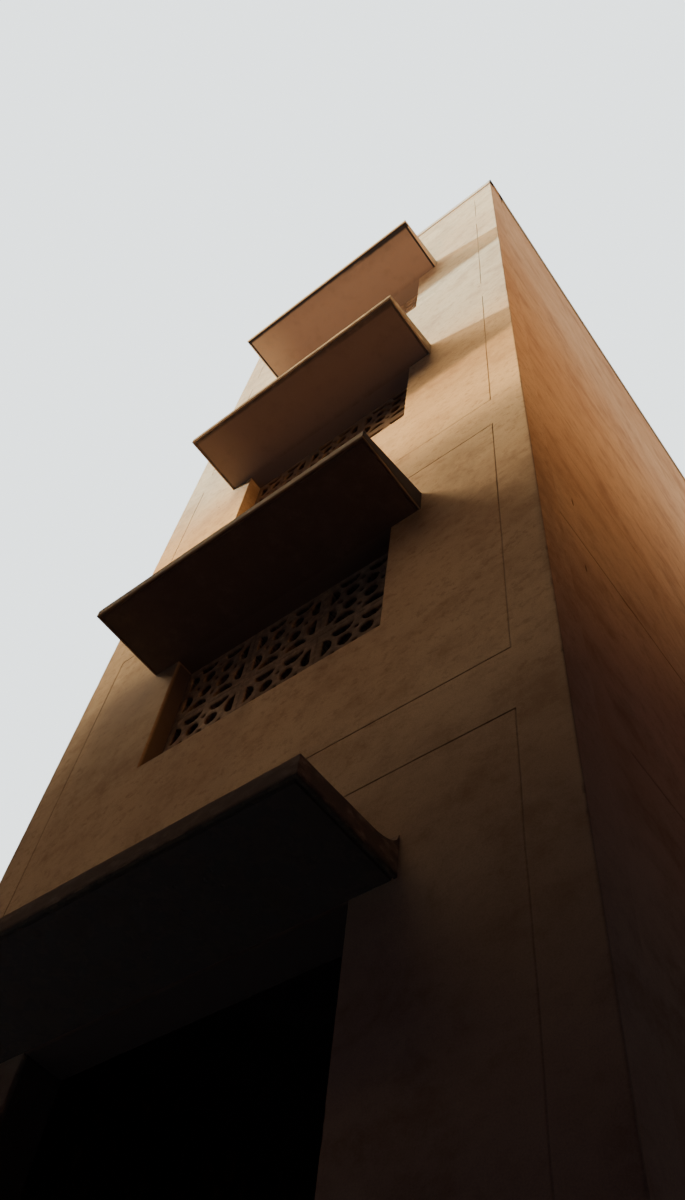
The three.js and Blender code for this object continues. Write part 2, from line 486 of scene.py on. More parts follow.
class Paint(NodeTree):
    """The node tree of one material, in metres of the piece's own space."""

    def __init__(self, name: str, roughness: float, specular: float = 0.25) -> None:
        """Starts a material with one plain shader of a fixed roughness and specular level.

        Args:
            name: name of the material.
            roughness: its roughness.
            specular: its specular level.
        """
        self.material = bpy.data.materials.new(name)
        self.material.use_nodes = True
        super().__init__(self.material.node_tree)
        self.shader = self.tree.nodes["Principled BSDF"]
        self.shader.inputs["Roughness"].default_value = roughness
        self.shader.inputs["Specular IOR Level"].default_value = specular
        self.place = self.node("TexCoord").outputs["Object"]

    def stretched(self, size: float, stretch: Colour) -> Socket:
        """The piece's own space in units of size, drawn out along x, y and z."""
        scale = [1.0 / (size * pull) for pull in stretch]
        return self.node("Mapping", Vector=self.place, Scale=scale).outputs["Vector"]

    def noise(self, size: float, detail: float = 4.0, rough: float = 0.55,
              stretch: Colour = EVEN, swirl: float = 0.0) -> Socket:
        """Cloudy noise in the piece's own space.

        Args:
            size: width of the largest cloud, in metres.
            detail: number of finer layers.
            rough: strength of the finer layers.
            stretch: how far the clouds are drawn out along x, y and z.
            swirl: how much the pattern is bent by itself.

        Returns:
            The noise value, from 0 to 1.
        """
        noise = self.node("TexNoise", Vector=self.stretched(size, stretch), Scale=1.0,
                          Detail=detail, Roughness=rough, Distortion=swirl)
        return noise.outputs["Fac"]

    def clouds(self, size: float, low: float, high: float, detail: float = 5.0, rough: float = 0.6,
               stretch: Colour = EVEN, swirl: float = 0.0) -> Socket:
        """Cloudy noise spread from 0 where it is at low to 1 where it is at high."""
        return self.fall(self.noise(size, detail, rough, stretch, swirl), low, high)

    def cells(self, size: float, stretch: Colour = EVEN, bend: float = 0.0) -> Socket:
        """Distance to the nearest centre in a pattern of cells, in cell widths.

        Args:
            size: width of a cell, in metres.
            stretch: how far the cells are drawn out along x, y and z.
            bend: how far the pattern is bent by noise, in cell widths.

        Returns:
            The distance value.
        """
        vector = self.stretched(size, stretch)
        if bend:
            wave = self.node("TexNoise", Vector=vector, Scale=1.7, Detail=5.0)
            shift = self.node("VectorMath")
            shift.operation = "MULTIPLY_ADD"
            for socket, value in zip(shift.inputs, (wave.outputs["Color"], [bend] * 3, vector)):
                self.feed(socket, value)
            vector = shift.outputs["Vector"]
        return self.node("TexVoronoi", Vector=vector, Scale=1.0).outputs["Distance"]

    def mark(self, name: str) -> Socket:
        """The number that add_marks stored under a name.

        Args:
            name: the name.

        Returns:
            The number.
        """
        node = self.node("Attribute")
        node.attribute_name = name
        return node.outputs["Fac"]

    def fall(self, value: object, low: float, high: float) -> Socket:
        """A value spread smoothly from 0 at low to 1 at high; low may be above high.

        Args:
            value: the number to spread.
            low: where it gives 0.
            high: where it gives 1.

        Returns:
            The spread number.
        """
        bottom, top = (0.0, 1.0) if low < high else (1.0, 0.0)
        spread = self.node("MapRange", Value=value, From_Min=min(low, high),
                           From_Max=max(low, high), To_Min=bottom, To_Max=top)
        spread.interpolation_type = "SMOOTHSTEP"
        return spread.outputs["Result"]

    def step(self, operation: str, first: object, second: object) -> Socket:
        """One arithmetic step on two numbers or sockets.

        Args:
            operation: the kind of step.
            first: the first number.
            second: the second number.

        Returns:
            The result.
        """
        node = self.node("Math")
        node.operation = operation
        self.feed(node.inputs[0], first)
        self.feed(node.inputs[1], second)
        return node.outputs[0]

    def times(self, first: object, second: object) -> Socket:
        """The product of two numbers or sockets."""
        return self.step("MULTIPLY", first, second)

    def over(self, colour: object, share: object, strength: float, tint: Colour) -> Socket:
        """Lays a tint over a colour, by a share times a strength."""
        return self.mix(self.times(share, strength), colour, tint)

    def torn(self, name: str, ragged: Socket, low: float, high: float) -> Socket:
        """A mark torn open where a ragged noise is near low."""
        return self.times(self.mark(name), self.fall(ragged, low, high))

    def grained(self, colour: object, size: float, strength: float,
                tint: Colour) -> tuple[Socket, Socket]:
        """Adds fine speckle to a colour, and hands over the colour and the grain's height."""
        grain = self.noise(size, 2.0, 0.7)
        return self.over(colour, self.fall(grain, 0.4, 0.75), strength, tint), grain

    def pits(self, size: float, rim: float, floor: float, field_size: float, low: float,
             high: float) -> Socket:
        """Round pits that some places have: 0 around them and -1 at their bottom.

        Args:
            size: distance from pit to pit, in metres.
            rim: where a pit starts, in sizes from its middle.
            floor: where it is deepest, in sizes.
            field_size: width of the places that have pits, in metres.
            low: noise below which there are none.
            high: noise above which they are whole.

        Returns:
            The height.
        """
        here = self.fall(self.noise(field_size, 3.0), low, high)
        return self.times(self.times(self.fall(self.cells(size), rim, floor), here), -1.0)

    def relief(self, layers: Sequence[tuple[Socket, float]]) -> None:
        """Bumps the surface by several heights, each with its real height in metres.

        Args:
            layers: heights from 0 to 1, each with its real height.
        """
        normal = None
        for height, reach in layers:
            bump = self.node("Bump", Strength=1.0, Distance=reach, Height=height)
            if normal is not None:
                self.feed(bump.inputs["Normal"], normal)
            normal = bump.outputs["Normal"]
        self.feed(self.shader.inputs["Normal"], normal)

    def colour(self, value: object) -> bpy.types.Material:
        """Sets the base colour and hands over the finished material."""
        self.feed(self.shader.inputs["Base Color"], value)
        return self.material


@dataclass(frozen=True)
class WallRender:
    """Painted sand and cement render: clouded, blotched, with trowel marks, dust, chips and pits.

    pull is how far the blotches are drawn out level, as a long float leaves them; blotch and speck
    are how strong the large and the small ones are. The sizes are widths in metres.
    """

    name: str = "wall_render"
    pull: float = 1.2
    blotch: float = 0.40
    speck: float = 0.56
    pale: Colour = (0.66, 0.53, 0.35)
    warm: Colour = (0.565, 0.42, 0.265)
    smudge: Colour = (0.34, 0.22, 0.135)
    soot: Colour = (0.13, 0.088, 0.06)
    brown: Colour = (0.17, 0.12, 0.095)
    dark: Colour = (0.046, 0.036, 0.036)
    chalk: Colour = (0.78, 0.70, 0.56)
    cloud_size: float = 1.5
    patch_size: float = 0.45
    blot_size: float = 0.12
    speck_size: float = 0.05
    grain_size: float = 0.007
    spot_spacing: float = 0.50
    drag_stretch: float = 7.0
    drag_strength: float = 0.035
    trowel_height: float = 0.0034
    grain_height: float = 0.0007
    pit_depth: float = 0.0015
    spot_depth: float = 0.0025

    def build(self) -> bpy.types.Material:
        """Wires the material.

        Returns:
            The finished material.
        """
        paint = Paint(self.name, 0.93)
        drawn = (self.pull, self.pull, 1.0)
        dragged = (self.pull * self.drag_stretch, self.pull * self.drag_stretch, 1.0)
        smudged = paint.mark("smudged")
        clouds = paint.clouds(self.cloud_size, 0.36, 0.66, stretch=drawn, swirl=0.3)
        colour = paint.mix(clouds, self.pale, self.warm)
        patches = paint.clouds(self.patch_size, 0.45, 0.72, 7.0, 0.70, drawn, 0.2)
        colour = paint.over(colour, patches, self.blotch * 1.5, self.smudge)
        blots = paint.times(paint.clouds(self.blot_size, 0.45, 0.80, 6.0, 0.72, drawn), smudged)
        colour = paint.over(colour, blots, self.blotch * 1.4, self.smudge)
        specks = paint.times(paint.clouds(self.speck_size, 0.51, 0.70, 5.0, 0.70, drawn), smudged)
        colour = paint.over(colour, specks, self.speck, self.smudge)
        drags = paint.clouds(self.speck_size, 0.55, 0.78, 4.0, 0.6, dragged)
        colour = paint.over(colour, drags, self.drag_strength * self.pull, self.soot)
        grain = paint.noise(self.grain_size, 2.0, 0.7)
        colour = paint.over(colour, paint.fall(grain, 0.35, 0.72), 0.20, self.soot)
        ragged = paint.noise(0.11, 5.0, 0.65, (1.0, 1.0, 1.6))
        # dirt, and painted shade on the faces inside the tower
        colour = paint.over(colour, paint.torn("grime", ragged, 0.2, 0.62), 0.80, self.soot)
        colour = paint.over(colour, paint.torn("chalk", ragged, 0.25, 0.55), 0.7, self.chalk)
        # painted shade: opening heads browned like the soffits, the lowest window's reveals and the
        # wall below its canopy's ends
        colour = paint.mix(paint.mark("brown"), colour, self.brown)
        spots = paint.fall(paint.cells(self.spot_spacing, drawn, 0.25), 0.024, 0.010)
        colour = paint.over(colour, spots, 0.85, self.dark)
        # dark marks in grooves, scars and chips, then painted deep shade in the lowest window's and
        # the entrance's reveals
        for name in ("dark", "sooty"):
            colour = paint.mix(paint.mark(name), colour, self.dark)
        trowel = paint.noise(0.30, 6.0, 0.60, drawn, 0.4)
        pits = paint.pits(0.030, 0.20, 0.05, 0.25, 0.52, 0.7)
        paint.relief([(trowel, self.trowel_height), (grain, self.grain_height),
                      (pits, self.pit_depth), (paint.times(spots, -1.0), self.spot_depth)])
        return paint.colour(colour)


@dataclass(frozen=True)
class CanopyPaint:
    """Painted cast concrete: soffit browned as painted shade, sooty drip groove, fascia greyed by
    weather and lightened as painted skylight, worn top.
    """

    name: str = "canopy_paint"
    pale: Colour = (0.62, 0.50, 0.345)
    warm: Colour = (0.52, 0.39, 0.255)
    brown: Colour = (0.205, 0.140, 0.108)
    weather: Colour = (0.74, 0.72, 0.57)
    soot: Colour = (0.014, 0.012, 0.014)
    grain_size: float = 0.006

    def build(self) -> bpy.types.Material:
        """Wires the material.

        Returns:
            The finished material.
        """
        paint = Paint(self.name, 0.9)
        colour = paint.mix(paint.clouds(0.9, 0.34, 0.68, swirl=0.3), self.pale, self.warm)
        ragged = paint.noise(0.06, 5.0, 0.65, (2.0, 2.0, 1.0))
        # weathered edge faces, lightened as painted skylight
        colour = paint.mix(paint.torn("weather", ragged, 0.0, 0.5), colour, self.weather)
        # painted shade: the soffit browned
        colour = paint.mix(paint.mark("brown"), colour, self.brown)
        blots = paint.clouds(0.10, 0.48, 0.76, 5.0, 0.66, (1.6, 1.6, 1.0))
        colour = paint.over(colour, blots, 0.13, self.soot)
        colour, grain = paint.grained(colour, self.grain_size, 0.16, self.soot)
        grime = paint.mark("grime")
        worn = paint.step("MAXIMUM", paint.fall(ragged, 0.15, 0.55), paint.fall(grime, 0.7, 1.0))
        colour = paint.mix(paint.times(grime, worn), colour, self.soot)
        boards = paint.noise(0.10, 3.0, 0.5, (14.0, 1.0, 1.0))
        pits = paint.pits(0.05, 0.22, 0.06, 0.2, 0.5, 0.66)
        paint.relief([(boards, 0.0012), (grain, 0.0005), (pits, 0.002)])
        return paint.colour(colour)


@dataclass(frozen=True)
class ScreenCement:
    """Painted cast cement of the screen blocks, darker than the walls' render as painted canopy
    shade: worn arrises, dust in the corners and painted shade in the holes.
    """

    name: str = "screen_cement"
    # darker than the wall render: painted shade of the canopies over the screens
    pale: Colour = (0.43, 0.31, 0.22)
    warm: Colour = (0.31, 0.22, 0.15)
    soot: Colour = (0.018, 0.014, 0.015)
    grain_size: float = 0.005

    def build(self) -> bpy.types.Material:
        """Wires the material.

        Returns:
            The finished material.
        """
        paint = Paint(self.name, 0.92)
        colour = paint.mix(paint.clouds(0.35, 0.34, 0.68, swirl=0.4), self.pale, self.warm)
        colour, grain = paint.grained(colour, self.grain_size, 0.15, self.soot)
        # dust, and painted shade in the holes and over the lowest screens
        grime = paint.torn("grime", paint.noise(0.05, 5.0, 0.65), 0.2, 0.6)
        colour = paint.over(colour, grime, 0.9, self.soot)
        pits = paint.pits(0.02, 0.25, 0.08, 0.1, 0.5, 0.66)
        paint.relief([(paint.noise(0.06), 0.0018), (grain, 0.0004), (pits, 0.001)])
        return paint.colour(colour)


@dataclass(frozen=True)
class CopingCement:
    """Weathered cement of the coping, darker on top, with painted shade along its drip."""

    name: str = "coping_cement"
    pale: Colour = (0.61, 0.54, 0.45)
    warm: Colour = (0.51, 0.43, 0.35)
    soot: Colour = (0.10, 0.09, 0.085)
    tar_black: Colour = (0.018, 0.017, 0.018)
    grain_size: float = 0.006

    def build(self) -> bpy.types.Material:
        """Wires the material.

        Returns:
            The finished material.
        """
        paint = Paint(self.name, 0.9)
        clouds = paint.clouds(0.7, 0.35, 0.66, rough=0.62, swirl=0.5)
        colour = paint.mix(clouds, self.pale, self.warm)
        colour, grain = paint.grained(colour, self.grain_size, 0.16, self.soot)
        grime = paint.torn("grime", paint.noise(0.09, 5.0, 0.65), 0.2, 0.6)
        colour = paint.over(colour, grime, 0.85, self.soot)
        colour = paint.mix(paint.mark("tar"), colour, self.tar_black)
        paint.relief([(paint.noise(0.12, 5.0, 0.6), 0.003), (grain, 0.0006)])
        return paint.colour(colour)


@dataclass(frozen=True)
class BareConcrete:
    """Bare cast concrete of the floors and the threshold."""

    name: str = "bare_concrete"
    pale: Colour = (0.36, 0.325, 0.28)
    dark: Colour = (0.23, 0.205, 0.175)
    soot: Colour = (0.09, 0.08, 0.07)
    grain_size: float = 0.006

    def build(self) -> bpy.types.Material:
        """Wires the material.

        Returns:
            The finished material.
        """
        paint = Paint(self.name, 0.9)
        clouds = paint.clouds(1.1, 0.34, 0.66, 6.0, 0.62, swirl=0.7)
        colour = paint.mix(clouds, self.pale, self.dark)
        colour, grain = paint.grained(colour, self.grain_size, 0.2, self.soot)
        stains = paint.clouds(0.5, 0.58, 0.8, 5.0, 0.7, swirl=1.0)
        colour = paint.over(colour, stains, 0.5, self.soot)
        sweep = paint.noise(0.3, 5.0, 0.55, (3.0, 1.0, 1.0))
        paint.relief([(sweep, 0.003), (grain, 0.0006)])
        return paint.colour(colour)


# Walls

class Side(Enum):
    """A wall's outward direction, with the direction of its own u axis."""

    FRONT = ((1.0, 0.0, 0.0), (0.0, -1.0, 0.0))
    REAR = ((-1.0, 0.0, 0.0), (0.0, 1.0, 0.0))
    RIGHT = ((0.0, 1.0, 0.0), (1.0, 0.0, 0.0))
    LEFT = ((0.0, -1.0, 0.0), (-1.0, 0.0, 0.0))

    @property
    def along(self) -> Points:
        """Direction of u."""
        return np.array(self.value[0])

    @property
    def outward(self) -> Points:
        """Direction that the face looks."""
        return np.array(self.value[1])


class Run(Enum):
    """Direction of a straight line on a wall."""

    UP = 0
    ACROSS = 1


@dataclass(frozen=True)
class Arris:
    """A worn edge of a wall face: a quarter round whose radius swells where pieces broke off."""

    run: Run
    at: float
    low: float
    high: float
    radius: float
    chip: float
    seed: int
    soot: float = 0.0

    def chips(self, along: np.ndarray) -> np.ndarray:
        """Growth of the radius along the edge: many small nicks and a few longer breaks.

        Args:
            along: positions along the line.

        Returns:
            The growth at each position.
        """
        small = np.clip(line_relief(self.seed + 7, 0.06, along, 2) - 0.15, 0.0, 1.0)
        big = np.clip(line_relief(self.seed + 11, 0.33, along, 3) - 0.45, 0.0, 1.0)
        return self.chip * (1.1 * small + 1.6 * big)

    def radius_at(self, along: np.ndarray) -> np.ndarray:
        """Radius along the edge: a slow waver, and the chips."""
        return self.radius * (1.0 + 0.35 * line_relief(self.seed, 0.5, along)) + self.chips(along)

    def place(self, u: np.ndarray, z: np.ndarray) -> tuple[np.ndarray, np.ndarray]:
        """Distance from the edge, and how far along it.

        Args:
            u: positions along the wall.
            z: heights above the ground.

        Returns:
            The distance and the position along the edge.
        """
        across, along = (u, z) if self.run is Run.UP else (z, u)
        beyond = np.maximum(0.0, np.maximum(self.low - along, along - self.high))
        return np.hypot(across - self.at, beyond), np.clip(along, self.low, self.high)

    def depth(self, u: np.ndarray, z: np.ndarray) -> np.ndarray:
        """How far the round takes the face back: r - sqrt(r^2 - (r - d)^2) at distance d.

        Args:
            u: positions along the wall.
            z: heights above the ground.

        Returns:
            The depth at each point.
        """
        distance, along = self.place(u, z)
        radius = self.radius_at(along)
        left = np.clip(radius - distance, 0.0, radius)
        return radius - np.sqrt(np.maximum(radius * radius - left * left, 0.0))

    def dark(self, u: np.ndarray, z: np.ndarray) -> np.ndarray:
        """Bare dark render where a chip broke off, and soot along the edge.

        Args:
            u: positions along the wall.
            z: heights above the ground.

        Returns:
            How dark each point is, from 0 to 1.
        """
        distance, along = self.place(u, z)
        broken = self.chips(along)
        bare = 0.65 * smooth_step(broken, 0.001, 0.006)
        bare = bare * smooth_step(distance, self.radius + 1.1 * broken, self.radius)
        return np.maximum(bare, self.soot * smooth_step(distance, 0.012, 0.004))


@dataclass(frozen=True)
class Groove:
    """An incised line: full depth over its middle, soft lips, fading where paint has filled it."""

    run: Run
    at: float
    low: float
    high: float
    seed: int
    width: float = 0.009
    deep: float = 0.009
    share: float = 1.0
    # dust and painted shade of the groove's depth
    soot: float = 0.70

    def lines(self) -> np.ndarray:
        """Grid lines that the section needs, across the groove.

        Returns:
            Their positions.
        """
        half = self.width / 2
        shares = np.array([0.0, 0.45, 0.8, 1.15, 1.9, 4.0])
        return np.concatenate([self.at - half * shares, self.at + half * shares])

    def section(self, u: np.ndarray, z: np.ndarray) -> np.ndarray:
        """Soft section across the line times its strength along the line.

        Args:
            u: positions along the wall.
            z: heights above the ground.

        Returns:
            The share of the full depth at each point.
        """
        across, along = (u, z) if self.run is Run.UP else (z, u)
        beyond = np.maximum(0.0, np.maximum(self.low - along, along - self.high))
        distance = np.hypot(across - self.at, beyond)
        strength = self.share * np.clip(0.80 + 0.55 * line_relief(self.seed, 0.7, along), 0.25, 1.0)
        half = self.width / 2
        return strength * (1.0 - smooth_step(distance, 0.3 * half, 1.2 * half))

    def depth(self, u: np.ndarray, z: np.ndarray) -> np.ndarray:
        """Depth at a point."""
        return self.deep * self.section(u, z)

    def dark(self, u: np.ndarray, z: np.ndarray) -> np.ndarray:
        """Dust lying in the line, and painted shade of its depth."""
        return self.soot * self.section(u, z)


@dataclass(frozen=True)
class Scar:
    """A small chipped hollow in a wall face, with a dark ragged bottom."""

    u: float
    z: float
    half_u: float
    half_z: float
    seed: int
    deep: float = 0.008

    def lines(self, run: Run) -> np.ndarray:
        """Grid lines that the hollow needs across one direction."""
        shares = np.array([-1.7, -1.2, -0.8, -0.4, 0.0, 0.4, 0.8, 1.2, 1.7])
        return self.u + self.half_u * shares if run is Run.UP else self.z + self.half_z * shares

    def section(self, u: np.ndarray, z: np.ndarray) -> np.ndarray:
        """1 inside the hollow, falling to 0 across its ragged border.

        Args:
            u: positions along the wall.
            z: heights above the ground.

        Returns:
            The share of the full depth at each point.
        """
        away = np.hypot((u - self.u) / self.half_u, (z - self.z) / self.half_z)
        points = np.stack([u, z, np.zeros_like(u)], axis=-1)
        ragged = Relief(self.seed, (self.half_u * 1.4, self.half_z * 0.9, 1.0), 2).at(points)
        return 1.0 - smooth_step(away * (1.0 + 0.35 * ragged), 0.55, 1.15)

    def depth(self, u: np.ndarray, z: np.ndarray) -> np.ndarray:
        """Depth at a point."""
        return self.deep * self.section(u, z)

    def dark(self, u: np.ndarray, z: np.ndarray) -> np.ndarray:
        """How dark the hollow is."""
        return 0.85 * self.section(u, z)


@dataclass
class WallSkin:
    """A rendered wall from its outer face to its inner face, in one closed piece.

    A point of the outer face lies at offset - h along the outward normal. h is the sum of a slow
    relief, which fades to nothing near the wall's own ends, the panel lines and the worn arrises.
    """

    name: str
    nodes: tuple[str, ...]
    side: Side
    step_across: float
    step_up: float
    openings: tuple[tuple[float, float, float, float], ...] = ()
    grooves: tuple[Groove, ...] = ()
    arrises: tuple[Arris, ...] = ()
    scars: tuple[Scar, ...] = ()
    swell: float = 0.0028
    flush: float = 0.14
    drift: float = 0.0022
    worn_ends: bool = False
    edge_steps: tuple[float, ...] = (0.0, 0.002, 0.005, 0.009, 0.015, 0.025, 0.045)
    reveal_bands: tuple[float, ...] = (0.03, 0.1, 0.45)

    def box(self) -> tuple[Points, Points]:
        """Lowest and highest corner of all the nodes together."""
        lows, highs = zip(*[box_of(node) for node in self.nodes])
        return np.min(lows, axis=0), np.max(highs, axis=0)

    def lines(self, ends: tuple[float, float], run: Run, step: float) -> np.ndarray:
        """Grid lines across one direction, with every groove and arris section on its own lines.

        Args:
            ends: the first and the last line.
            run: direction of the lines themselves.
            step: widest gap allowed.

        Returns:
            The sorted positions.
        """
        features = [groove.lines() for groove in self.grooves if groove.run is run]
        steps = np.array(self.edge_steps)
        for arris in self.arrises:
            if arris.run is run:
                features += [arris.at - steps, arris.at + steps]
        for rectangle in self.openings:
            features.append(np.array(rectangle[:2] if run is Run.UP else rectangle[2:]))
        features += [scar.lines(run) for scar in self.scars]
        return grid_lines(ends[0], ends[1], step, features)

    def waver(self, u: np.ndarray, z: np.ndarray) -> tuple[np.ndarray, np.ndarray]:
        """Sideways shift of the grid lines, which makes grooves and edges slightly crooked.

        Args:
            u: positions along the wall.
            z: heights above the ground.

        Returns:
            The shifts along u and along z.
        """
        shifts = {Run.UP: np.zeros_like(u), Run.ACROSS: np.zeros_like(z)}
        for groove in self.grooves:
            across, along = (u, z) if groove.run is Run.UP else (z, u)
            drift = self.drift * line_relief(groove.seed + 3, 0.6, along)
            shifts[groove.run] += drift * hump(across, groove.at, 0.05)
        return shifts[Run.UP], shifts[Run.ACROSS]

    def calm(self, u: np.ndarray, z: np.ndarray) -> np.ndarray:
        """How freely the face may swell: 0 at its own ends and at openings, 1 from flush on.

        Args:
            u: positions along the wall.
            z: heights above the ground.

        Returns:
            The share of the swell at each point.
        """
        free = np.ones_like(u)
        for place in (u, z):
            free = free * smooth_step(place, place.min(), place.min() + self.flush)
            free = free * smooth_step(place, place.max(), place.max() - self.flush)
        for u0, u1, z0, z1 in self.openings:
            beside = np.maximum(np.maximum(u0 - u, u - u1), 0.0)
            over = np.maximum(np.maximum(z0 - z, z - z1), 0.0)
            free = free * smooth_step(np.hypot(beside, over), 0.0, self.flush)
        return free

    def solid_cells(self, u_lines: np.ndarray, z_lines: np.ndarray) -> np.ndarray:
        """Which cells between the grid lines lie in no opening.

        Args:
            u_lines: positions of the upright lines.
            z_lines: heights of the level lines.

        Returns:
            True for each solid cell.
        """
        keep = np.ones((len(u_lines) - 1, len(z_lines) - 1), bool)
        mid_u = (u_lines[1:] + u_lines[:-1])[:, None] / 2
        mid_z = (z_lines[1:] + z_lines[:-1])[None, :] / 2
        for u0, u1, z0, z1 in self.openings:
            keep &= ~((mid_u > u0) & (mid_u < u1) & (mid_z > z0) & (mid_z < z1))
        return keep

    def build(self) -> bpy.types.Mesh:
        """Works out both faces and the reveals.

        Returns:
            The wall's mesh.
        """
        low, high = self.box()
        along, outward = self.side.along, self.side.outward
        u_ends = sorted((float(low @ along), float(high @ along)))
        back, face = sorted((float(low @ outward), float(high @ outward)))
        u_lines = self.lines((u_ends[0], u_ends[1]), Run.UP, self.step_across)
        z_lines = self.lines((float(low[2]), float(high[2])), Run.ACROSS, self.step_up)
        u, z = np.meshgrid(u_lines, z_lines, indexing="ij")
        flat = u[..., None] * along + z[..., None] * UP
        slow = Relief(31, (1.1, 1.1, 1.4), 4).at(flat + face * outward)
        hollow = self.swell * self.calm(u, z) * slow
        cut = highest(u, (part.depth(u, z) for part in (*self.grooves, *self.scars)))
        worn = highest(u, (arris.depth(u, z) for arris in self.arrises))
        dark = highest(u, (part.dark(u, z) for part in (*self.grooves, *self.scars, *self.arrises)))
        shift_u, shift_z = self.waver(u, z)
        shift = shift_u[..., None] * along + shift_z[..., None] * UP
        bite = 0.45 * worn * ((u <= u_ends[0]) * 1.0 - (u >= u_ends[1])) * self.worn_ends
        inset = bite[..., None] * along
        outer = flat + shift + inset + (face - hollow - cut - worn)[..., None] * outward
        inner = flat + back * outward
        keep = self.solid_cells(u_lines, z_lines)
        plate = Plate(outer, inner, keep, self.reveal_bands, inset, marks={"dark": dark})
        return plate.mesh(self.name)


@dataclass
class Walls:
    """The four rendered walls of the tower, with their panel lines, edges, weathering and painted
    shade.
    """

    finish: bpy.types.Material
    side_finish: bpy.types.Material
    panel_half_width: float = 1.8
    panel_height: float = 2.748
    panel_over_soffit: float = 0.638
    top_panel_height: float = 1.014
    level_shares: tuple[tuple[float, float], ...] = (
        (0.0, 1.0), (1.0, 1.0), (0.25, 0.10), (0.12, 0.10), (0.10, 0.10))
    upright_shares: tuple[float, ...] = (0.5, 0.65, 0.65, 0.6, 0.45)
    corner_radius: float = 0.007
    corner_chip: float = 0.014
    corner_soot: float = 0.35
    jamb_radius: float = 0.005
    jamb_chip: float = 0.010
    side_streaks: tuple[tuple[float, float, float, float], ...] = (
        (7.17, -2.78, 2.4, 1.0), (8.66, -2.15, -0.9, 0.45), (5.27, -2.25, -1.4, 0.6),
        (9.55, -2.3, -0.2, 0.35), (11.35, -1.9, 0.6, 0.25))
    streak_width: float = 0.026
    streak_depth: float = 0.010
    streak_soot: float = 0.95
    # painted shade below the lowest canopy's left and right ends
    end_stains: tuple[tuple[float, float], ...] = ((-1.0, 1.0), (1.0, 0.05))
    side_scars: tuple[tuple[float, float, float, float], ...] = (
        (-2.31, 7.69, 0.008, 0.050), (-2.32, 6.82, 0.009, 0.040), (-2.68, 5.60, 0.014, 0.018),
        (-2.70, 4.66, 0.016, 0.026), (-2.68, 7.15, 0.050, 0.012), (-1.78, 7.15, 0.055, 0.010),
        (-2.76, 5.64, 0.012, 0.030), (-2.74, 11.22, 0.012, 0.020), (-2.71, 11.10, 0.010, 0.014),
        (-2.70, 10.98, 0.008, 0.012), (-2.735, 16.50, 0.045, 0.20), (-2.555, 16.54, 0.040, 0.16))
    drip_places: tuple[float, ...] = (-0.57, -0.505)
    top_dirt: Fade = Fade(0.12, 0.10)
    foot_dirt: Fade = Fade(0.75, 0.35)
    beside_canopy: Fade = Fade(0.15, 0.5)
    under_canopy: Fade = Fade(0.4, 0.10)
    sill_wash: Fade = Fade(0.35, 0.7)
    # painted shade fading downwards below the lowest canopy
    long_stain: Fade = Fade(0.25, 2.0)
    corner_dirt: float = 0.5
    canopy_halo: float = 0.40
    reveal_dirt: float = 0.35
    # painted shade on the lowest window's reveals
    reveal_brown: float = 0.85
    # painted shade deep in the entrance's reveals
    entrance_soot: float = 0.92
    touch: float = 0.02

    def __post_init__(self) -> None:
        """Reads the openings' places from the frame."""
        pier_low, pier_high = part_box("front_right_pier")
        self.jamb, self.half_width = pier_low.x, pier_high.x
        self.front, self.front_back = pier_low.y, pier_high.y
        self.back, self.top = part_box("rear_wall")[1].y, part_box("rear_wall")[1].z
        self.soffits = [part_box(f"{storey}_window_canopy")[0].z for storey in STOREYS]
        below = ("entrance", "lower_window", "middle_window")
        self.sills = [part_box(f"front_wall_over_{opening}")[1].z for opening in below]
        self.entrance_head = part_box("front_wall_over_entrance")[0].z
        self.canopy_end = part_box("upper_window_canopy")[1].x

    def panels(self) -> list[tuple[float, float]]:
        """Bottom and top of each panel rectangle, from the entrance to the parapet.

        Returns:
            A pair of heights for each panel.
        """
        tops = [soffit + self.panel_over_soffit for soffit in self.soffits]
        bottoms = [top - self.panel_height for top in tops]
        storey = self.soffits[1] - self.soffits[0]
        gap = storey - self.panel_height
        last = tops[-1] + gap
        entrance_panel, top_panel = (-0.05, bottoms[0] - gap), (last, last + self.top_panel_height)
        return [entrance_panel, *zip(bottoms, tops), top_panel]

    def grooves(self, seed: int) -> tuple[Groove, ...]:
        """Two upright and two level lines for each panel, as strong as they still show.

        Args:
            seed: start of the random relief.

        Returns:
            The lines.
        """
        half = self.panel_half_width
        made = []
        for number, (bottom, top) in enumerate(self.panels()):
            base = seed + number * 40
            share = self.upright_shares[number]
            made += [Groove(Run.UP, side * half, bottom, top, base + side, share=share)
                     for side in (-1, 1)]
            levels = zip((bottom, top), self.level_shares[number])
            made += [Groove(Run.ACROSS, level, -half, half, base + 5 + place, share=share)
                     for place, (level, share) in enumerate(levels) if level > 0.0]
        return tuple(made)

    def side_grooves(self) -> tuple[Groove, ...]:
        """The level day joint of the side walls and a few fainter drag lines.

        Returns:
            The lines.
        """
        look = self.streak_width, self.streak_depth
        return tuple(Groove(Run.ACROSS, *ends, 900 + number, *look, share, self.streak_soot)
                     for number, (*ends, share) in enumerate(self.side_streaks))

    def corner_arrises(self, seed: int) -> tuple[Arris, ...]:
        """The two outer corners of a full-width wall.

        Args:
            seed: start of the random relief.

        Returns:
            The edges.
        """
        return tuple(Arris(Run.UP, side * self.half_width, 0.0, self.top, self.corner_radius,
                           self.corner_chip, seed + side, self.corner_soot)
                     for side in (-1, 1))

    def jamb_arrises(self) -> tuple[Arris, ...]:
        """Both jambs of every opening and every sill.

        Returns:
            The edges.
        """
        made = []
        look = self.jamb_radius, self.jamb_chip
        spans = [(0.0, self.entrance_head), *zip(self.sills, self.soffits)]
        for number, (sill, head) in enumerate(spans):
            made += [Arris(Run.UP, side * self.jamb, sill, head, *look, 400 + 10 * number + side)
                     for side in (-1, 1)]
            if number:
                made.append(Arris(Run.ACROSS, sill, -self.jamb, self.jamb, *look, 500 + number))
        return tuple(made)

